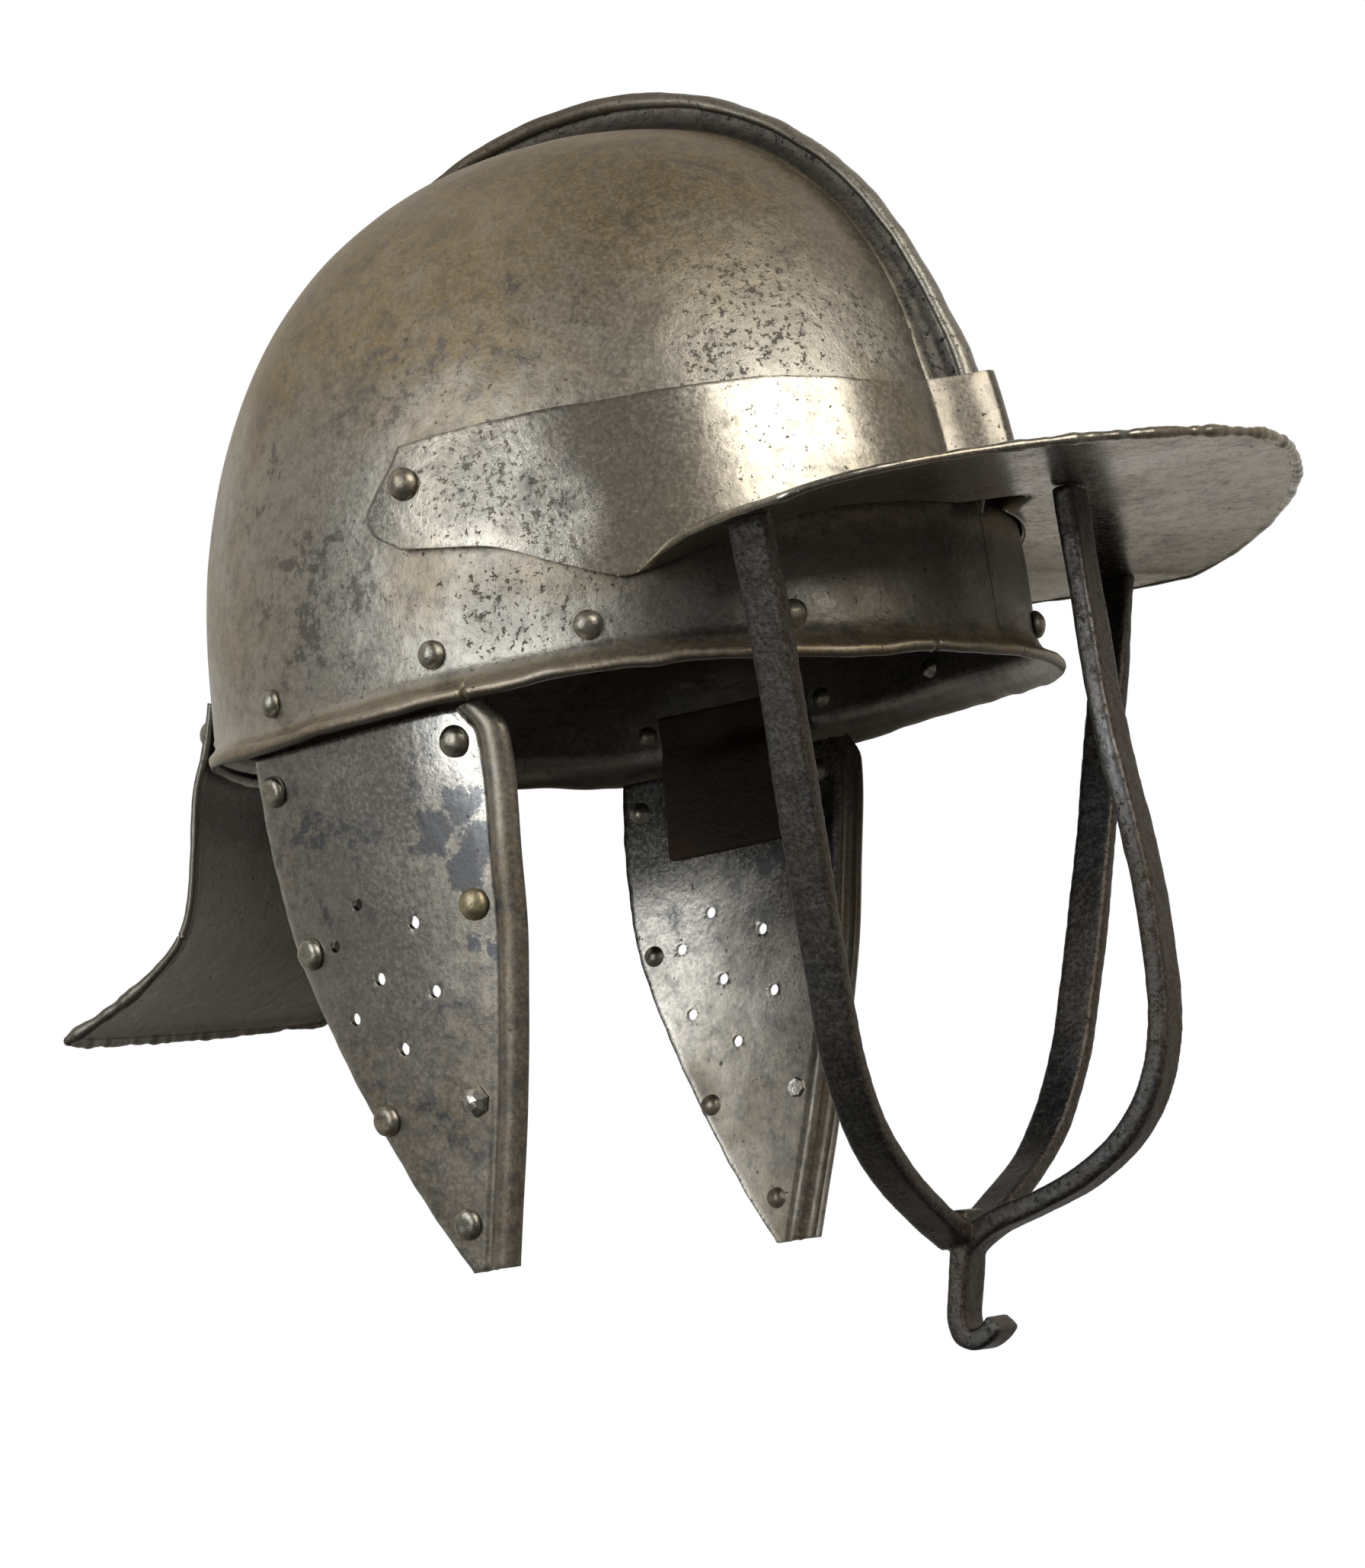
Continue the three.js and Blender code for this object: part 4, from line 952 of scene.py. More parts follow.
class Shader(Nodes):
    """A material's nodes. Sizes and depths are in millimetres."""

    def __init__(self, name):
        self.material = bpy.data.materials.new(name)
        self.material.use_nodes = True
        super().__init__(self.material.node_tree)
        self.shader = self.tree.nodes["Principled BSDF"]
        self.places = self.new("TexCoord").outputs["Object"]

    def set(self, name, value):
        self.put(self.shader.inputs[name], value)

    def noise(self, size, detail, roughness, warp=0.0):
        inputs = {"Vector": self.places, "Scale": 1 / (size * MM), "Detail": detail,
                  "Roughness": roughness, "Distortion": warp}
        return self.fill(self.new("TexNoise"), inputs).outputs["Fac"]

    def cells(self, size):
        inputs = {"Vector": self.places, "Scale": 1 / (size * MM)}
        return self.fill(self.new("TexVoronoi"), inputs).outputs["Distance"]

    def attribute(self, name):
        node = self.new("Attribute")
        node.attribute_name = name
        return node.outputs["Fac"]

    def range(self, value, low, high, to_low=0.0, to_high=1.0):
        node = self.new("MapRange")
        node.interpolation_type = "SMOOTHSTEP"
        inputs = {"Value": value, "From Min": low, "From Max": high, "To Min": to_low, "To Max": to_high}
        return self.fill(node, inputs).outputs["Result"]

    def math(self, operation, a, b):
        node = self.new("Math")
        node.operation = operation
        node.use_clamp = operation in ("ADD", "SUBTRACT")
        return self.fill(node, {0: a, 1: b}).outputs[0]

    def blend(self, share, a, b, kind="FLOAT"):
        node = self.new("Mix")
        node.data_type = kind
        return self.fill(node, {"Factor": share, "A": a, "B": b}).outputs["Result"]

    def colour(self, share, a, b):
        return self.blend(share, a, b, "RGBA")

    def bump(self, height, depth, below=None):
        """Relief over the relief below it."""
        inputs = {"Distance": depth * MM, "Height": height}
        if below is not None:
            inputs["Normal"] = below
        return self.fill(self.new("Bump"), inputs).outputs["Normal"]


# The steel's noises, and where each effect begins and is full, with its values there if they aren't 0 and 1
STEEL_NOISE = dict(kind=("cloud", "mottle", "grain", "lumps", "rusted", "speck"), detail=(4, 6, 3, 2, 6, 4),
                   roughness=(0.6, 0.68, 0.6, 0.5, 0.74, 0.75), warp=(0.6, 0.3, 0, 0.4, 0, 0))
STEEL_RANGE = dict(blotch=(0.42, 0.66), blotch_cloud=(0.32, 0.6, 0.35, 1), brown_cloud=(0.42, 0.66, 0),
                   brown_mottle=(0.25, 0.6, 0.55, 1), stain_mottle=(0.3, 0.7, -0.24, 0.24),
                   stain_rust=(0.3, 0.7, -0.22, 0.22), stain=(0.38, 0.6, 0), pit_speck=(0.5, 0.78),
                   pitted=(0, 1), pits=(0.02, 0.35), wear_and_highlight_mottle=(0.28, 0.52, 0.35, 1), wear_and_highlight_rust=(0.4, 0.58),
                   grain=(0.35, 0.7, 0), shade_and_blackening=(0.35, 0.6, 1, 0.78), grain_rough=(0.3, 0.75, -0.05, 0.07))
# How far worn spots and painted highlights lighten the colour
WEAR_AND_HIGHLIGHT_TONE = 0.8
PIT_ROUGH = 0.75


def aged_steel(name, look):
    """Worn steel: bare and browned patches, dark stains, pits, worn ridges, painted highlights, and painted
    shade in hollows and where the shade marks lie.
    """
    s = Shader(name)

    def spread(value, effect, *ends):
        return s.range(value, *STEEL_RANGE[effect], *ends)

    def times(a, b):
        return s.math("MULTIPLY", a, b)

    noises = [s.noise(look[kind], *how) for kind, *how in zip(*STEEL_NOISE.values())]
    cloud, mottle, grain, lumps, rusted, speck = noises
    pitted = s.attribute("pitted")
    blotch = times(spread(rusted, "blotch"), spread(cloud, "blotch_cloud"))
    brown = s.math("ADD", s.attribute("brown"), spread(cloud, "brown_cloud", look["browning"]))
    brown = times(brown, spread(mottle, "brown_mottle"))
    stain_edge = s.math("ADD", s.attribute("stain"), spread(mottle, "stain_mottle"))
    stain_edge = s.math("ADD", stain_edge, spread(rusted, "stain_rust"))
    stain = spread(stain_edge, "stain", look["stain_most"])
    dark = times(s.range(mottle, look["dark_from"], look["dark_full"]), look["dark_most"])
    dark = s.math("ADD", dark, times(blotch, look["blotch_most"]))
    dark = s.math("MAXIMUM", dark, stain)
    pit_level = s.math("SUBTRACT", spread(speck, "pit_speck"), spread(pitted, "pitted", look["pit_rest"], 0))
    pits = spread(pit_level, "pits")
    # Worn ridges and spots lighten the colour; some of the spots are painted highlights
    wear_and_highlight = s.math("MAXIMUM", s.attribute("wear_and_highlight"), times(s.attribute("ridge"), look["ridge_worn"]))
    wear_and_highlight = times(wear_and_highlight, spread(mottle, "wear_and_highlight_mottle"))
    wear_and_highlight = times(wear_and_highlight, spread(rusted, "wear_and_highlight_rust", look["wear_and_highlight_rest"], 1))
    # Painted shade where the shade marks lie; inside the skull and on the comb they also stand for real
    # blackened steel
    shade_and_blackening = times(s.attribute("shade"), spread(rusted, "shade_and_blackening"))
    colour = s.colour(brown, look["bare"], look["brown"])
    colour = s.colour(spread(grain, "grain", look["grain_tone"]), colour, look["light"])
    colour = s.colour(times(wear_and_highlight, WEAR_AND_HIGHLIGHT_TONE), colour, look["light"])
    colour = s.colour(dark, colour, look["dark"])
    colour = s.colour(times(pits, look["pit_tone"]), colour, look["pit"])
    colour = s.colour(shade_and_blackening, colour, look["shade_and_blackening"])
    # Painted shade in every hollow
    colour = s.colour(times(s.attribute("hollow"), look["hollow_shading"]), colour, look["hollow_shade_tone"])
    s.set("Base Color", colour)
    s.set("Metallic", s.blend(brown, look["metal"], look["brown_metal"]))
    rough = s.blend(brown, look["rough"], look["brown_rough"])
    rough = s.blend(dark, rough, look["dark_rough"])
    rough = s.blend(wear_and_highlight, rough, look["worn_rough"])
    rough = s.math("ADD", rough, spread(grain, "grain_rough"))
    s.set("Roughness", s.blend(pits, rough, PIT_ROUGH))
    crust = times(rusted, spread(pitted, "pitted", look["crust"], 1))
    relief = s.bump(lumps, look["lump_depth"])
    relief = s.bump(mottle, look["mottle_depth"], relief)
    relief = s.bump(crust, look["rust_depth"], relief)
    relief = s.bump(grain, look["grain_depth"], relief)
    s.set("Normal", s.bump(s.math("SUBTRACT", 1.0, pits), look["pit_depth"], relief))
    return s.material


# The darkest colours paint shade: one where the shade marks lie, also standing for blackened steel, and one
# for hollows. The light colour also paints highlights
STEEL = dict(cloud=62, mottle=13, grain=1.1, speck=1.9, lumps=9, rusted=3.6, browning=0.7, dark_from=0.5,
             dark_full=0.74, dark_most=0.55, stain_most=0.8, blotch_most=0.58, wear_and_highlight_rest=0.5, ridge_worn=0.6,
             pit_rest=0.42, pit_tone=0.55, grain_tone=0.22, hollow_shading=0.7, crust=0.12,
             bare=(0.40, 0.375, 0.33), brown=(0.285, 0.207, 0.105), light=(0.62, 0.60, 0.54),
             dark=(0.15, 0.14, 0.125), pit=(0.07, 0.06, 0.045), hollow_shade_tone=(0.06, 0.045, 0.03),
             shade_and_blackening=(0.03, 0.031, 0.034), metal=1.0, brown_metal=0.72, rough=0.34, brown_rough=0.46,
             dark_rough=0.36, worn_rough=0.24, lump_depth=0.3, rust_depth=0.5, mottle_depth=0.24,
             grain_depth=0.04, pit_depth=0.14)
SKULL_LOOK = {**STEEL, "rough": 0.37}
VISOR_LOOK = {**STEEL, "rough": 0.2, "browning": 0.45, "brown_rough": 0.28, "worn_rough": 0.16,
              "lump_depth": 0.1, "mottle_depth": 0.1, "grain_depth": 0.02, "crust": 0.05, "pit_tone": 0.3}
BORDER_LOOK = {**VISOR_LOOK, "browning": 0.8}
CHEEK_LOOK = {**STEEL, "rough": 0.24, "browning": 0.5, "brown": (0.22, 0.172, 0.11), "worn_rough": 0.14,
              "dark": (0.085, 0.095, 0.112), "dark_most": 0.45, "mottle_depth": 0.07, "lump_depth": 0.1,
              "crust": 0.06, "pit_rest": 0.55}
NECK_LOOK = {**STEEL, "rough": 0.5, "browning": 0.9, "bare": (0.2, 0.19, 0.162),
             "brown": (0.155, 0.118, 0.076), "light": (0.32, 0.3, 0.255)}
BAR_LOOK = {**STEEL, "cloud": 40, "mottle": 9, "rough": 0.46, "bare": (0.06, 0.06, 0.058),
            "brown": (0.062, 0.037, 0.019), "light": (0.4, 0.39, 0.38), "dark": (0.06, 0.055, 0.05),
            "ridge_worn": 0.35, "wear_and_highlight_rest": 0.1, "mottle_depth": 0.1, "grain_depth": 0.06}
RIVET_LOOK = {**STEEL, "mottle": 5, "bare": (0.36, 0.335, 0.28), "pit_rest": 0.7, "hollow_shading": 0.9}
BRASS_LOOK = {**RIVET_LOOK, "bare": (0.52, 0.45, 0.27), "brown": (0.33, 0.27, 0.14),
              "light": (0.72, 0.66, 0.45)}
BRIGHT_LOOK = {**RIVET_LOOK, "rough": 0.16, "bare": (0.66, 0.64, 0.6), "browning": 0.2, "dark_most": 0.1}
LEATHER = dict(patch=(18, 4, 0.6), toned=(0.35, 0.7), dark=(0.035, 0.022, 0.014), light=(0.085, 0.055, 0.035),
               rough=(0.3, 0.7, 0.62, 0.82), crease=1.6, crease_depth=0.25)


def leather():
    s = Shader("dark_leather")
    patch = s.noise(*LEATHER["patch"])
    s.set("Base Color", s.colour(s.range(patch, *LEATHER["toned"]), LEATHER["dark"], LEATHER["light"]))
    s.set("Roughness", s.range(patch, *LEATHER["rough"]))
    s.set("Normal", s.bump(s.cells(LEATHER["crease"]), LEATHER["crease_depth"]))
    return s.material


# The places of the marks that the old surface carries, and of the painted highlights, in millimetres: where,
# how wide and how strong
SKULL_STAINS = dict(x=(-18, -37, -30, -30, 10, 38, -50), y=(-91, -88, -90, -90, -83, -76, -76),
                    z=(34, 42, 26, 34, 85, 92, 70), radius=(15, 15, 12, 34, 26, 22, 26),
                    strength=(0.56, 0.56, 0.5, 0.42, 0.38, 0.4, 0.36))
SKULL_PITS = dict(x=(86, 101, 71, 78, 24, 40, 50), y=(-46, -20, -55, -58, -89, -85, -82),
                  z=(86, 79, 98, 74, 21, 18, 20), radius=(24, 18, 16, 14, 14, 12, 10),
                  strength=(1, 0.9, 0.7, 1, 0.9, 0.8, 0.7))
# Painted highlights on the skull: spots lightened and smoothed where the lamps' reflections fall
SKULL_HIGHLIGHT_SPOTS = dict(x=(80, 27, 24, 35), y=(-57, -83, -89, -86), z=(70, 72, 20, 16), radius=(13, 13, 15, 14),
                  strength=(0.5, 0.4, 0.4, 0.3))
UNDER_VISOR_WORN = dict(x=(89, 92, 100), y=(-55, -51, -40), z=(16, 11, 9), radius=(5, 4, 4),
                        strength=(0.9, 0.9, 0.6))
# Painted highlights on the band and the ear
VISOR_HIGHLIGHT_SPOTS = dict(x=(90, 24, 43, 96), y=(-55, -90, -86, -45), z=(48, 51, 37, 55), radius=(18, 14, 14, 16),
                  strength=(0.8, 0.9, 0.9, 0.6))
VISOR_PITS = dict(x=(24, 43, 36, 88), y=(-90, -86, -88, -56), z=(52, 38, 45, 55), radius=(16, 14, 14, 14),
                  strength=(1, 1, 0.9, 0.2))
CHEEK_STAINS = dict(x=(2, -6, 5, -1, -2, 4, -44, -30, -48, -14, -24),
                    y=(-84, -84, -82, -82, -80, -79, -84, -85, -82, -82, -76),
                    z=(-23, -28, -32, -38, -56, -58, -20, -26, -38, -32, -98),
                    radius=(7, 7, 7, 7, 4, 4, 11, 10, 9, 7, 12),
                    strength=(1, 1, 1, 1, 0.8, 0.8, 0.4, 0.38, 0.38, 0.45, 0.35))
# Painted highlights at the top front of the cheek
CHEEK_HIGHLIGHT_SPOTS = dict(x=(2, 6, -10), y=(-86, -85, -86), z=(-10, -18, -14), radius=(12, 10, 10),
                  strength=(0.9, 0.9, 0.5))

# The marks that cover whole regions, painted shade among them: where each begins and is full, and how strong
# it is
SKULL_REGION = dict(under_x=(38, 66), under_top=(24, 31), under_foot=(2, 6), inside=(-0.02, -0.008),
                    inside_z=(5, 9), facing_down=(0.15, 0.6), beneath_z=(4, 9), bead=(0.09, 0.12),
                    comb_y=(6.5, 14), comb_z=(30, 45), comb_foot=(-0.006, 0.01), front_x=(0, 90),
                    rim_z=(5, 10), rim_out=(0.02, 0.05), top_z=(55, 115), brow_x=(60, 100))
SKULL_STRENGTH = dict(inside=0.6, beneath=0.6, under=0.62, comb=0.95, bead=0.74, front_bead=0.6, top=0.9,
                      brow=0.4, brown_comb=0.4, brown_rim=0.7, pitted_comb=0.5)
VISOR_REGION = dict(peak=(112, 122), left_y=(-70, -20), ridge_y=(10, 22), ridge_z=(36, 42))
VISOR_STRENGTH = dict(brown_peak=0.25, brown_left=0.3, ridge=0.35)
CHEEK_REGION = dict(roll=(6, 8), low=(40, 110), back_edge=(0.6, 2.2))
CHEEK_STRENGTH = dict(brown_roll=0.95, brown_low=0.55, back_edge=0.9)
BAR_REGION = dict(facing_front=(0.3, 0.75), middle_x=(120, 130), middle_z=(-70, -20), facing_right=(0.4, 0.8))
BAR_STRENGTH = dict(brown=0.9, wear_and_highlight=0.8, pitted=0.5)


def skull_covers(mesh):
    points = mesh_points(mesh)
    x, y, z = points.T
    share = outside_skull(points)
    region = SKULL_REGION
    strength = SKULL_STRENGTH
    # Painted shade under the peak, on the skull's front below the band
    under = smoothstep(x, *region["under_x"]) * (1 - smoothstep(z, *region["under_top"]))
    under *= smoothstep(z, *region["under_foot"])
    # Real blackening inside the skull, darkened further as painted shade
    inside = (1 - smoothstep(share, *region["inside"])) * smoothstep(z, *region["inside_z"])
    # Painted shade on the rim's underside, where it faces down
    beneath = smoothstep(-mesh_normals(mesh)[:, 2], *region["facing_down"])
    beneath = beneath * (1 - smoothstep(z, *region["beneath_z"]))
    bead = smoothstep(share, *region["bead"])
    # The comb's wall and fillet: dark patina, with painted shade in the crease at its foot; the bead less
    # dark
    comb = (1 - smoothstep(np.abs(y), *region["comb_y"])) * smoothstep(z, *region["comb_z"])
    comb = comb * smoothstep(share, *region["comb_foot"])
    front_bead = comb * bead * smoothstep(x, *region["front_x"])
    rim = (1 - smoothstep(z, *region["rim_z"])) * smoothstep(share, *region["rim_out"])
    brow = 1 - strength["brow"] * smoothstep(x, *region["brow_x"])
    top = strength["top"] * smoothstep(z, *region["top_z"]) * brow
    comb_shade_and_patina = comb * mix(strength["comb"], strength["bead"], bead)
    comb_shade_and_patina = comb_shade_and_patina * (1 - strength["front_bead"] * front_bead)
    # Painted shade under the peak and on the rim's underside, with the real blackening inside and the comb's
    # patina
    shade_and_blackening = [strength["inside"] * inside, strength["beneath"] * beneath, strength["under"] * under, comb_shade_and_patina]
    wear_and_highlight = [spots(points, SKULL_HIGHLIGHT_SPOTS), spots(points, UNDER_VISOR_WORN), front_bead]
    return dict(brown=top + strength["brown_comb"] * comb + strength["brown_rim"] * rim,
                stain=spots(points, SKULL_STAINS),
                pitted=np.maximum(spots(points, SKULL_PITS), strength["pitted_comb"] * comb),
                wear_and_highlight=np.max(wear_and_highlight, axis=0), shade=np.max(shade_and_blackening, axis=0))


def visor_covers(mesh):
    points = mesh_points(mesh)
    y = points[:, 1]
    peak = smoothstep(np.linalg.norm(points[:, :2], axis=1), *VISOR_REGION["peak"])
    left = smoothstep(y, *VISOR_REGION["left_y"]) * (1 - peak)
    # Painted shade on the band's ridge over the comb
    ridge = 1 - smoothstep(np.abs(y), *VISOR_REGION["ridge_y"])
    ridge = ridge * smoothstep(points[:, 2], *VISOR_REGION["ridge_z"])
    return dict(wear_and_highlight=spots(points, VISOR_HIGHLIGHT_SPOTS), pitted=spots(points, VISOR_PITS) * (1 - peak),
                brown=VISOR_STRENGTH["brown_peak"] * peak + VISOR_STRENGTH["brown_left"] * left,
                shade=VISOR_STRENGTH["ridge"] * ridge)


def cheek_covers(mesh, side):
    points = mesh_points(mesh)
    x = points[:, 0]
    z = points[:, 2]
    shown = points * np.array((1, -side, 1))
    roll = 1 - smoothstep(cheek_front(z) - x, *CHEEK_REGION["roll"])
    low = smoothstep(-z, *CHEEK_REGION["low"])
    back_edge = 1 - smoothstep(x - cheek_back(z), *CHEEK_REGION["back_edge"])
    return dict(stain=spots(shown, CHEEK_STAINS) * (1 - roll),
                brown=CHEEK_STRENGTH["brown_roll"] * roll + CHEEK_STRENGTH["brown_low"] * low,
                wear_and_highlight=np.maximum(spots(shown, CHEEK_HIGHLIGHT_SPOTS), CHEEK_STRENGTH["back_edge"] * back_edge))


def bar_covers(mesh):
    points = mesh_points(mesh)
    normals = mesh_normals(mesh)
    front = smoothstep(normals[:, 0], *BAR_REGION["facing_front"])
    speckled = smoothstep(points[:, 0], *BAR_REGION["middle_x"])
    speckled = speckled * smoothstep(points[:, 2], *BAR_REGION["middle_z"])
    speckled = speckled * smoothstep(-normals[:, 1], *BAR_REGION["facing_right"])
    return dict(brown=BAR_STRENGTH["brown"] * front, wear_and_highlight=BAR_STRENGTH["wear_and_highlight"] * speckled,
                pitted=np.full(len(points), BAR_STRENGTH["pitted"]))


# The pieces

def build_pieces():
    skull_steel = aged_steel("skull_steel", SKULL_LOOK)
    visor_steel = aged_steel("visor_steel", VISOR_LOOK)
    border_steel = aged_steel("border_steel", BORDER_LOOK)
    cheek_steel = aged_steel("cheek_steel", CHEEK_LOOK)
    bar_iron = aged_steel("bar_iron", BAR_LOOK)
    neck_steel = aged_steel("neck_steel", NECK_LOOK)
    strap_leather = leather()
    for side in (RIGHT, LEFT):
        name = SIDE_NAMES[side]
        skull = mesh_object(f"skull_{name}_plate", skull_half(side))
        make_piece(skull, skull_steel, "helmet", [f"skull_{name}"], skull_covers(skull.data))
        cheek = mesh_object(f"cheek_{name}_plate", cheek_surface(side))
        thicken(cheek, PLATE, PLATE_BEVEL)
        covers = cheek_covers(cheek.data, side)
        make_piece(cheek, cheek_steel, "helmet", [f"cheek_{name}"], covers)
        strap = mesh_object(f"cheek_{name}_leather", strap_surface(side))
        thicken(strap, STRAP["thickness"], LEATHER_BEVEL)
        make_piece(strap, strap_leather, "helmet", [f"cheek_strap_{name}"])
    visor = mesh_object("visor_plate", visor_surface())
    thicken(visor, PLATE, PLATE_BEVEL)
    make_piece(visor, visor_steel, "visor", ["visor"], visor_covers(visor.data))
    border = mesh_object("visor_border", Surface().grid(border_surface(), True, True))
    make_piece(border, border_steel, "visor", ["visor"])
    guard = mesh_object("face_guard_bars", guard_surface())
    forge(guard)
    make_piece(guard, bar_iron, "visor", ["face_guard"], bar_covers(guard.data))
    neck = mesh_object("neck_guard_plate", neck_surface())
    thicken(neck, PLATE, PLATE_BEVEL)
    make_piece(neck, neck_steel, "helmet", ["neck_guard"])
    hem = mesh_object("neck_guard_hem", Surface().grid(neck_border(), True, True))
    make_piece(hem, neck_steel, "helmet", ["neck_guard"])


def forge(obj):
    """Joins the bars into one forging and hammers it a little uneven."""
    joined = obj.modifiers.new("joined", "REMESH")
    joined.mode = "VOXEL"
    joined.voxel_size = BAR_VOXEL * MM
    soft = obj.modifiers.new("soft", "SMOOTH")
    soft.iterations = BAR_SMOOTHING
    apply_modifiers(obj)
    points = mesh_points(obj.data)
    lift = uneven(points, **BAR_BROAD) + uneven(points, **BAR_CLOSE)
    move_points(obj.data, points + mesh_normals(obj.data) * lift[:, None])


def rivet(node, place, direction, size, finish, seed, flat=0.0, facetted=False):
    cut = FACETS if facetted else {}
    grid = dome_grid(np.asarray(place, float), direction, size["radius"], size["height"], seed, flat, **cut)
    head = mesh_object(f"{node}_head", Surface().grid(grid, True, True))
    make_piece(head, finish, "helmet", [node], smooth=not facetted)


def build_rivets():
    plain = aged_steel("rivet_steel", RIVET_LOOK)
    brass = aged_steel("rivet_brass_tone", BRASS_LOOK)
    bright = aged_steel("rivet_bright", BRIGHT_LOOK)
    for i, (side, x, z) in enumerate(zip(*RIM_RIVETS.values()), 1):
        turn = np.array(turn_at_x(x, side))
        height = np.array(z, float)
        place = on_skull(turn, height, RIM_RIVET_LIFT)
        rivet(f"rim_rivet_{i}", place, skull_normal(turn, height), RIVET, plain, i)
    for i, across in enumerate(NECK_RIVETS["across"], 1):
        z = NECK_RIVETS["z"]
        up = neck_point(across, z + STEP) - neck_point(across, z - STEP)
        along = neck_point(across + STEP, z) - neck_point(across - STEP, z)
        direction = unit(np.cross(up, along))
        direction = direction * (-1 if direction[0] > 0 else 1)
        place = neck_point(across, z) + direction * (PLATE / 2 + GAP)
        rivet(f"neck_rivet_{i}", place, direction, RIVET, plain, RIVET_SEEDS["neck"] + i)
    for side in (RIGHT, LEFT):
        name = SIDE_NAMES[side]
        for i, (x, z) in enumerate(zip(*CHEEK_RIVETS.values()), 1):
            slope_x = (cheek_out(x + STEP, z) - cheek_out(x - STEP, z)) / (2 * STEP)
            direction = unit(np.array((-slope_x, side, -CHEEK["lean"])))
            place = np.array((x, side * cheek_out(x, z), z)) + direction * GAP
            finish = {BRASS_RIVET: brass, BRIGHT_RIVET: bright}.get(i, plain)
            flat = FLATTENED if i > LAST_ROUND_RIVET else 0
            seed = RIVET_SEEDS["cheek"] + i * side
            rivet(f"cheek_{name}_rivet_{i}", place, direction, CHEEK_RIVET, finish, seed, flat,
                  facetted=finish is bright)
        skull_out = abs(skull_point(turn_at_x(PIVOT["x"], side), PIVOT["z"])[1])
        ear_out = skull_out + BAND_GAP + EAR_STANDOFF + PLATE + 2 * GAP
        place = (PIVOT["x"], side * ear_out, PIVOT["z"])
        rivet(f"pivot_rivet_{name}", place, (0, side, 0), PIVOT_HEAD, plain, RIVET_SEEDS["pivot"] + side)


build_pieces()
build_rivets()

# The camera: the photograph's viewpoint, tilted as the photograph is
CAMERA = dict(azimuth=32.1, elevation=-8, roll=8.45, distance=1100, pixels_per_mm=5.06,
              target=(8.5, 7.9, -15.3))
FRAME_HEIGHT = 2058
SENSOR = 36

# The stage: a pale floor, two tall soft lights either side of the camera, a weak one above, and a dim room
FLOOR = dict(z=-290, radius=60, sides=64, colour=(0.8, 0.8, 0.79), rough=0.9, glow=1.0)
LIGHTS = dict(name=("front_window", "side_window", "top_fill"), azimuth=(72, -14, -60),
              elevation=(27, 14, 60), width=(1700, 1000, 1600), height=(1400, 1800, 1600),
              distance=(2200, 2200, 2400), power=(29, 19, 4),
              colour=((1, 0.97, 0.9), (0.94, 0.97, 1), (1, 0.96, 0.9)))
WHITE = (1, 1, 1)
ROOM_BELOW = (0.04, 0.038, 0.035)
ROOM_ABOVE = (0.16, 0.15, 0.135)
ROOM_BETWEEN = dict(position=(0.28, 0.45, 0.7),
                    colour=((0.18, 0.172, 0.16), (0.27, 0.26, 0.243), (0.33, 0.315, 0.29)))
BRIGHT_SIDE = (-0.6, 0.8, 0)
ROOM_STRENGTH = {"From Min": -0.2, "From Max": 0.9, "To Min": 0.7, "To Max": 2.3}


def direction_to(azimuth, elevation):
    """A direction by two angles in degrees: 0 round is the wearer's right and 90 the front."""
    azimuth, elevation = np.radians((azimuth, elevation))
    level = np.cos(elevation)
    return np.array((np.sin(azimuth) * level, -np.cos(azimuth) * level, np.sin(elevation)))


def make_camera():
    back = direction_to(CAMERA["azimuth"], CAMERA["elevation"])
    right = direction_to(CAMERA["azimuth"] + 90, 0)
    up = np.cross(back, right)
    roll = math.radians(CAMERA["roll"])
    tilted_right = np.cos(roll) * right - np.sin(roll) * up
    tilted_up = np.sin(roll) * right + np.cos(roll) * up
    place = np.array(CAMERA["target"]) + CAMERA["distance"] * back
    data = bpy.data.cameras.new("photo_camera")
    data.sensor_width = SENSOR
    data.lens = SENSOR * CAMERA["pixels_per_mm"] * CAMERA["distance"] / FRAME_HEIGHT
    camera = bpy.data.objects.new("photo_camera", data)
    turned = Matrix((tilted_right, tilted_up, back)).transposed().to_4x4()
    camera.matrix_world = Matrix.Translation(Vector(place * MM)) @ turned
    bpy.context.scene.collection.objects.link(camera)
    bpy.context.scene.camera = camera


def make_lights():
    for name, azimuth, elevation, width, height, distance, power, colour in zip(*LIGHTS.values()):
        data = bpy.data.lights.new(name, "AREA")
        data.shape = "RECTANGLE"
        data.size = width * MM
        data.size_y = height * MM
        data.energy = power
        data.color = colour
        back = Vector(direction_to(azimuth, elevation))
        light = bpy.data.objects.new(name, data)
        light.location = back * distance * MM
        light.rotation_euler = back.to_track_quat("Z", "Y").to_euler()
        light.visible_camera = False
        bpy.context.scene.collection.objects.link(light)


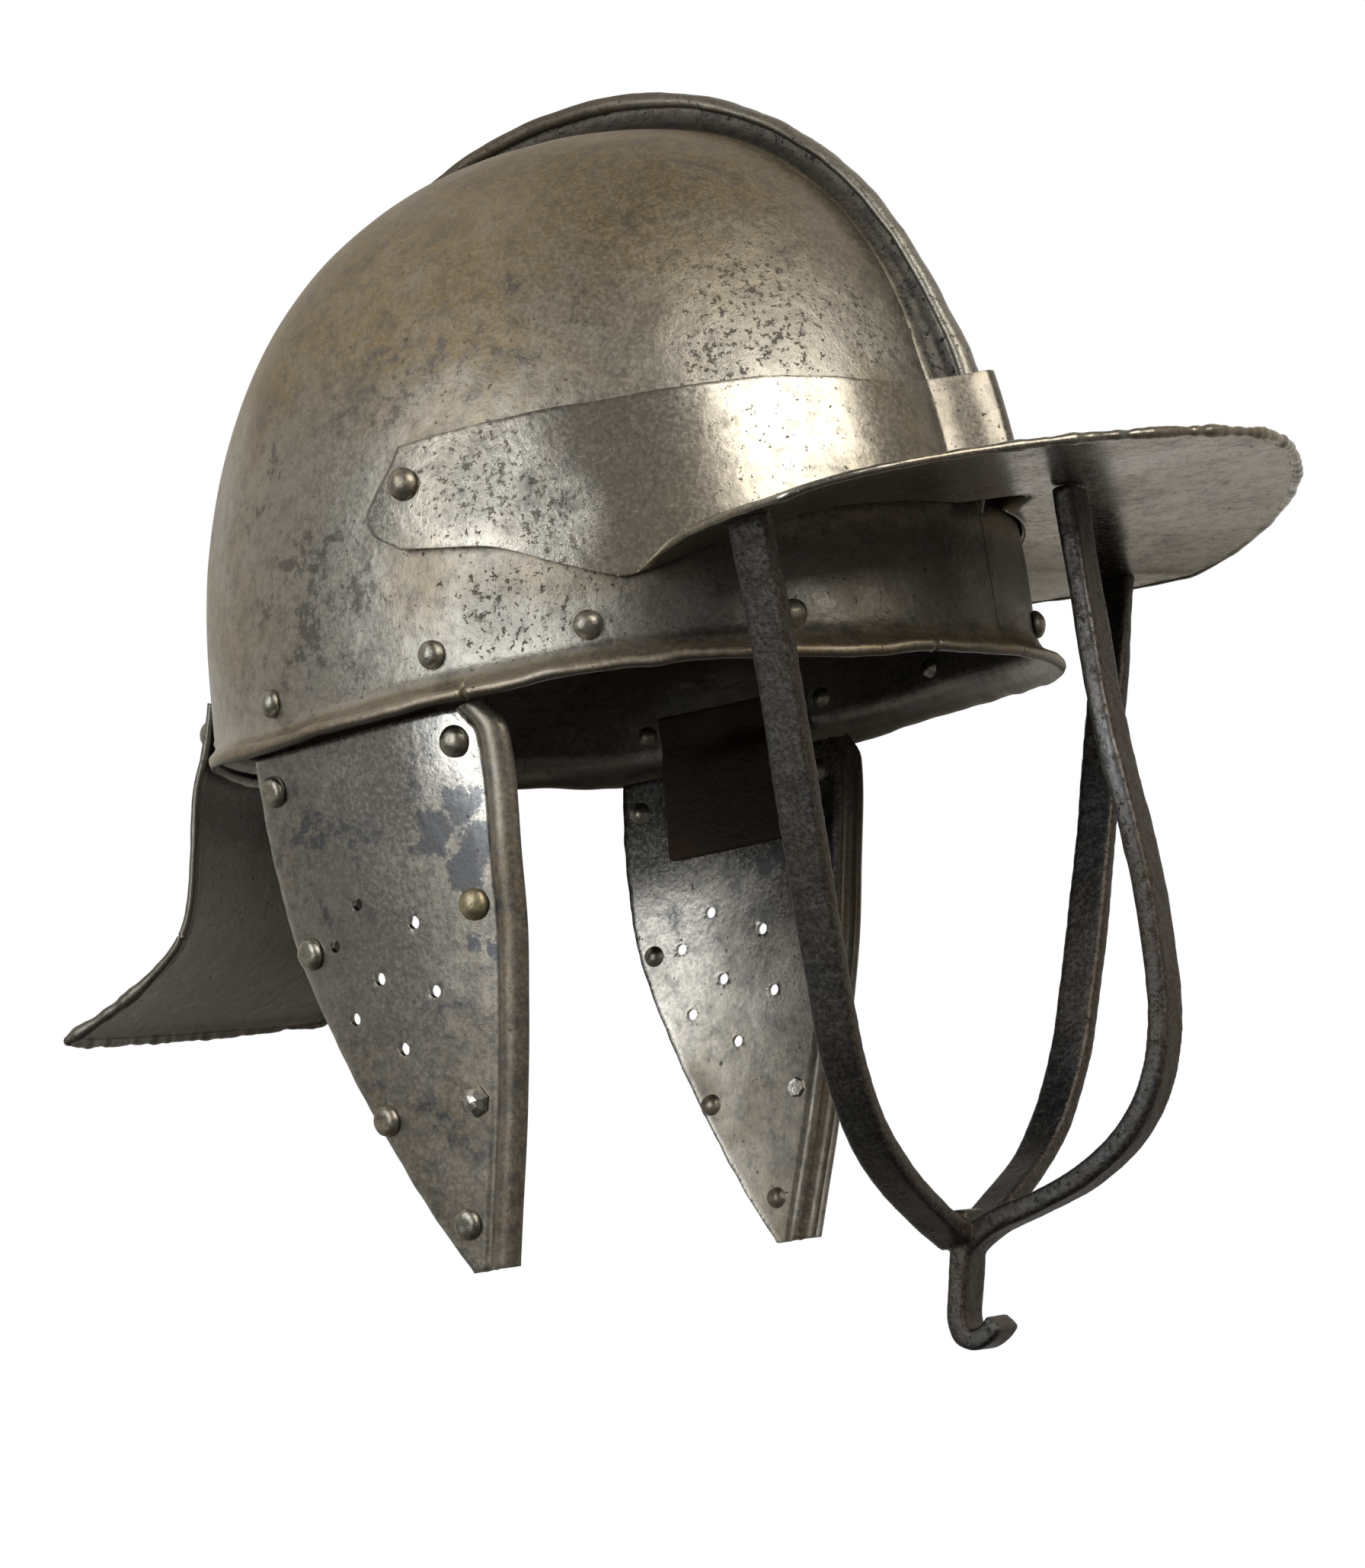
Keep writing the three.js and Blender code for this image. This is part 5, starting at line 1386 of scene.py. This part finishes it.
def make_floor():
    angles = round_angles(FLOOR["sides"])
    radius = FLOOR["radius"]
    corners = [(radius * math.cos(a), radius * math.sin(a), FLOOR["z"] * MM) for a in angles]
    mesh = bpy.data.meshes.new("pale_floor")
    mesh.from_pydata(corners, [], [list(range(len(corners)))])
    floor = bpy.data.objects.new("pale_floor", mesh)
    s = Shader("pale_floor")
    s.set("Base Color", FLOOR["colour"])
    s.set("Roughness", FLOOR["rough"])
    s.set("Emission Color", WHITE)
    s.set("Emission Strength", FLOOR["glow"])
    mesh.materials.append(s.material)
    floor.visible_glossy = False
    floor.visible_diffuse = False
    bpy.context.scene.collection.objects.link(floor)


def make_world():
    """White to the camera, and a dim room to the steel: darker above and below, brighter on one side."""
    world = bpy.data.worlds.new("room")
    world.use_nodes = True
    n = Nodes(world.node_tree)
    room = n.tree.nodes["Background"]
    white = n.fill(n.new("Background"), {"Color": WHITE, "Strength": 1.0})
    direction = n.new("TexCoord").outputs["Generated"]
    height = n.fill(n.new("SeparateXYZ"), {"Vector": direction}).outputs["Z"]
    lift = n.fill(n.new("MapRange"), {"Value": height, "From Min": -1})
    ramp = n.fill(n.new("ValToRGB"), {"Fac": lift.outputs["Result"]})
    stops = ramp.color_ramp.elements
    stops[0].color = (*ROOM_BELOW, 1)
    stops[1].color = (*ROOM_ABOVE, 1)
    for position, colour in zip(*ROOM_BETWEEN.values()):
        stop = stops.new(position)
        stop.color = (*colour, 1)
    facing = n.new("VectorMath")
    facing.operation = "DOT_PRODUCT"
    n.fill(facing, {0: direction, 1: BRIGHT_SIDE})
    strength = n.fill(n.new("MapRange"), {"Value": facing.outputs["Value"], **ROOM_STRENGTH})
    n.fill(room, {"Color": ramp.outputs["Color"], "Strength": strength.outputs["Result"]})
    to_camera = n.new("LightPath").outputs["Is Camera Ray"]
    choose = n.new("MixShader")
    n.fill(choose, {"Fac": to_camera, 1: room.outputs["Background"], 2: white.outputs["Background"]})
    n.fill(n.tree.nodes["World Output"], {"Surface": choose.outputs["Shader"]})
    bpy.context.scene.world = world


make_camera()
make_lights()
make_floor()
make_world()
bpy.context.scene.view_settings.view_transform = "Standard"
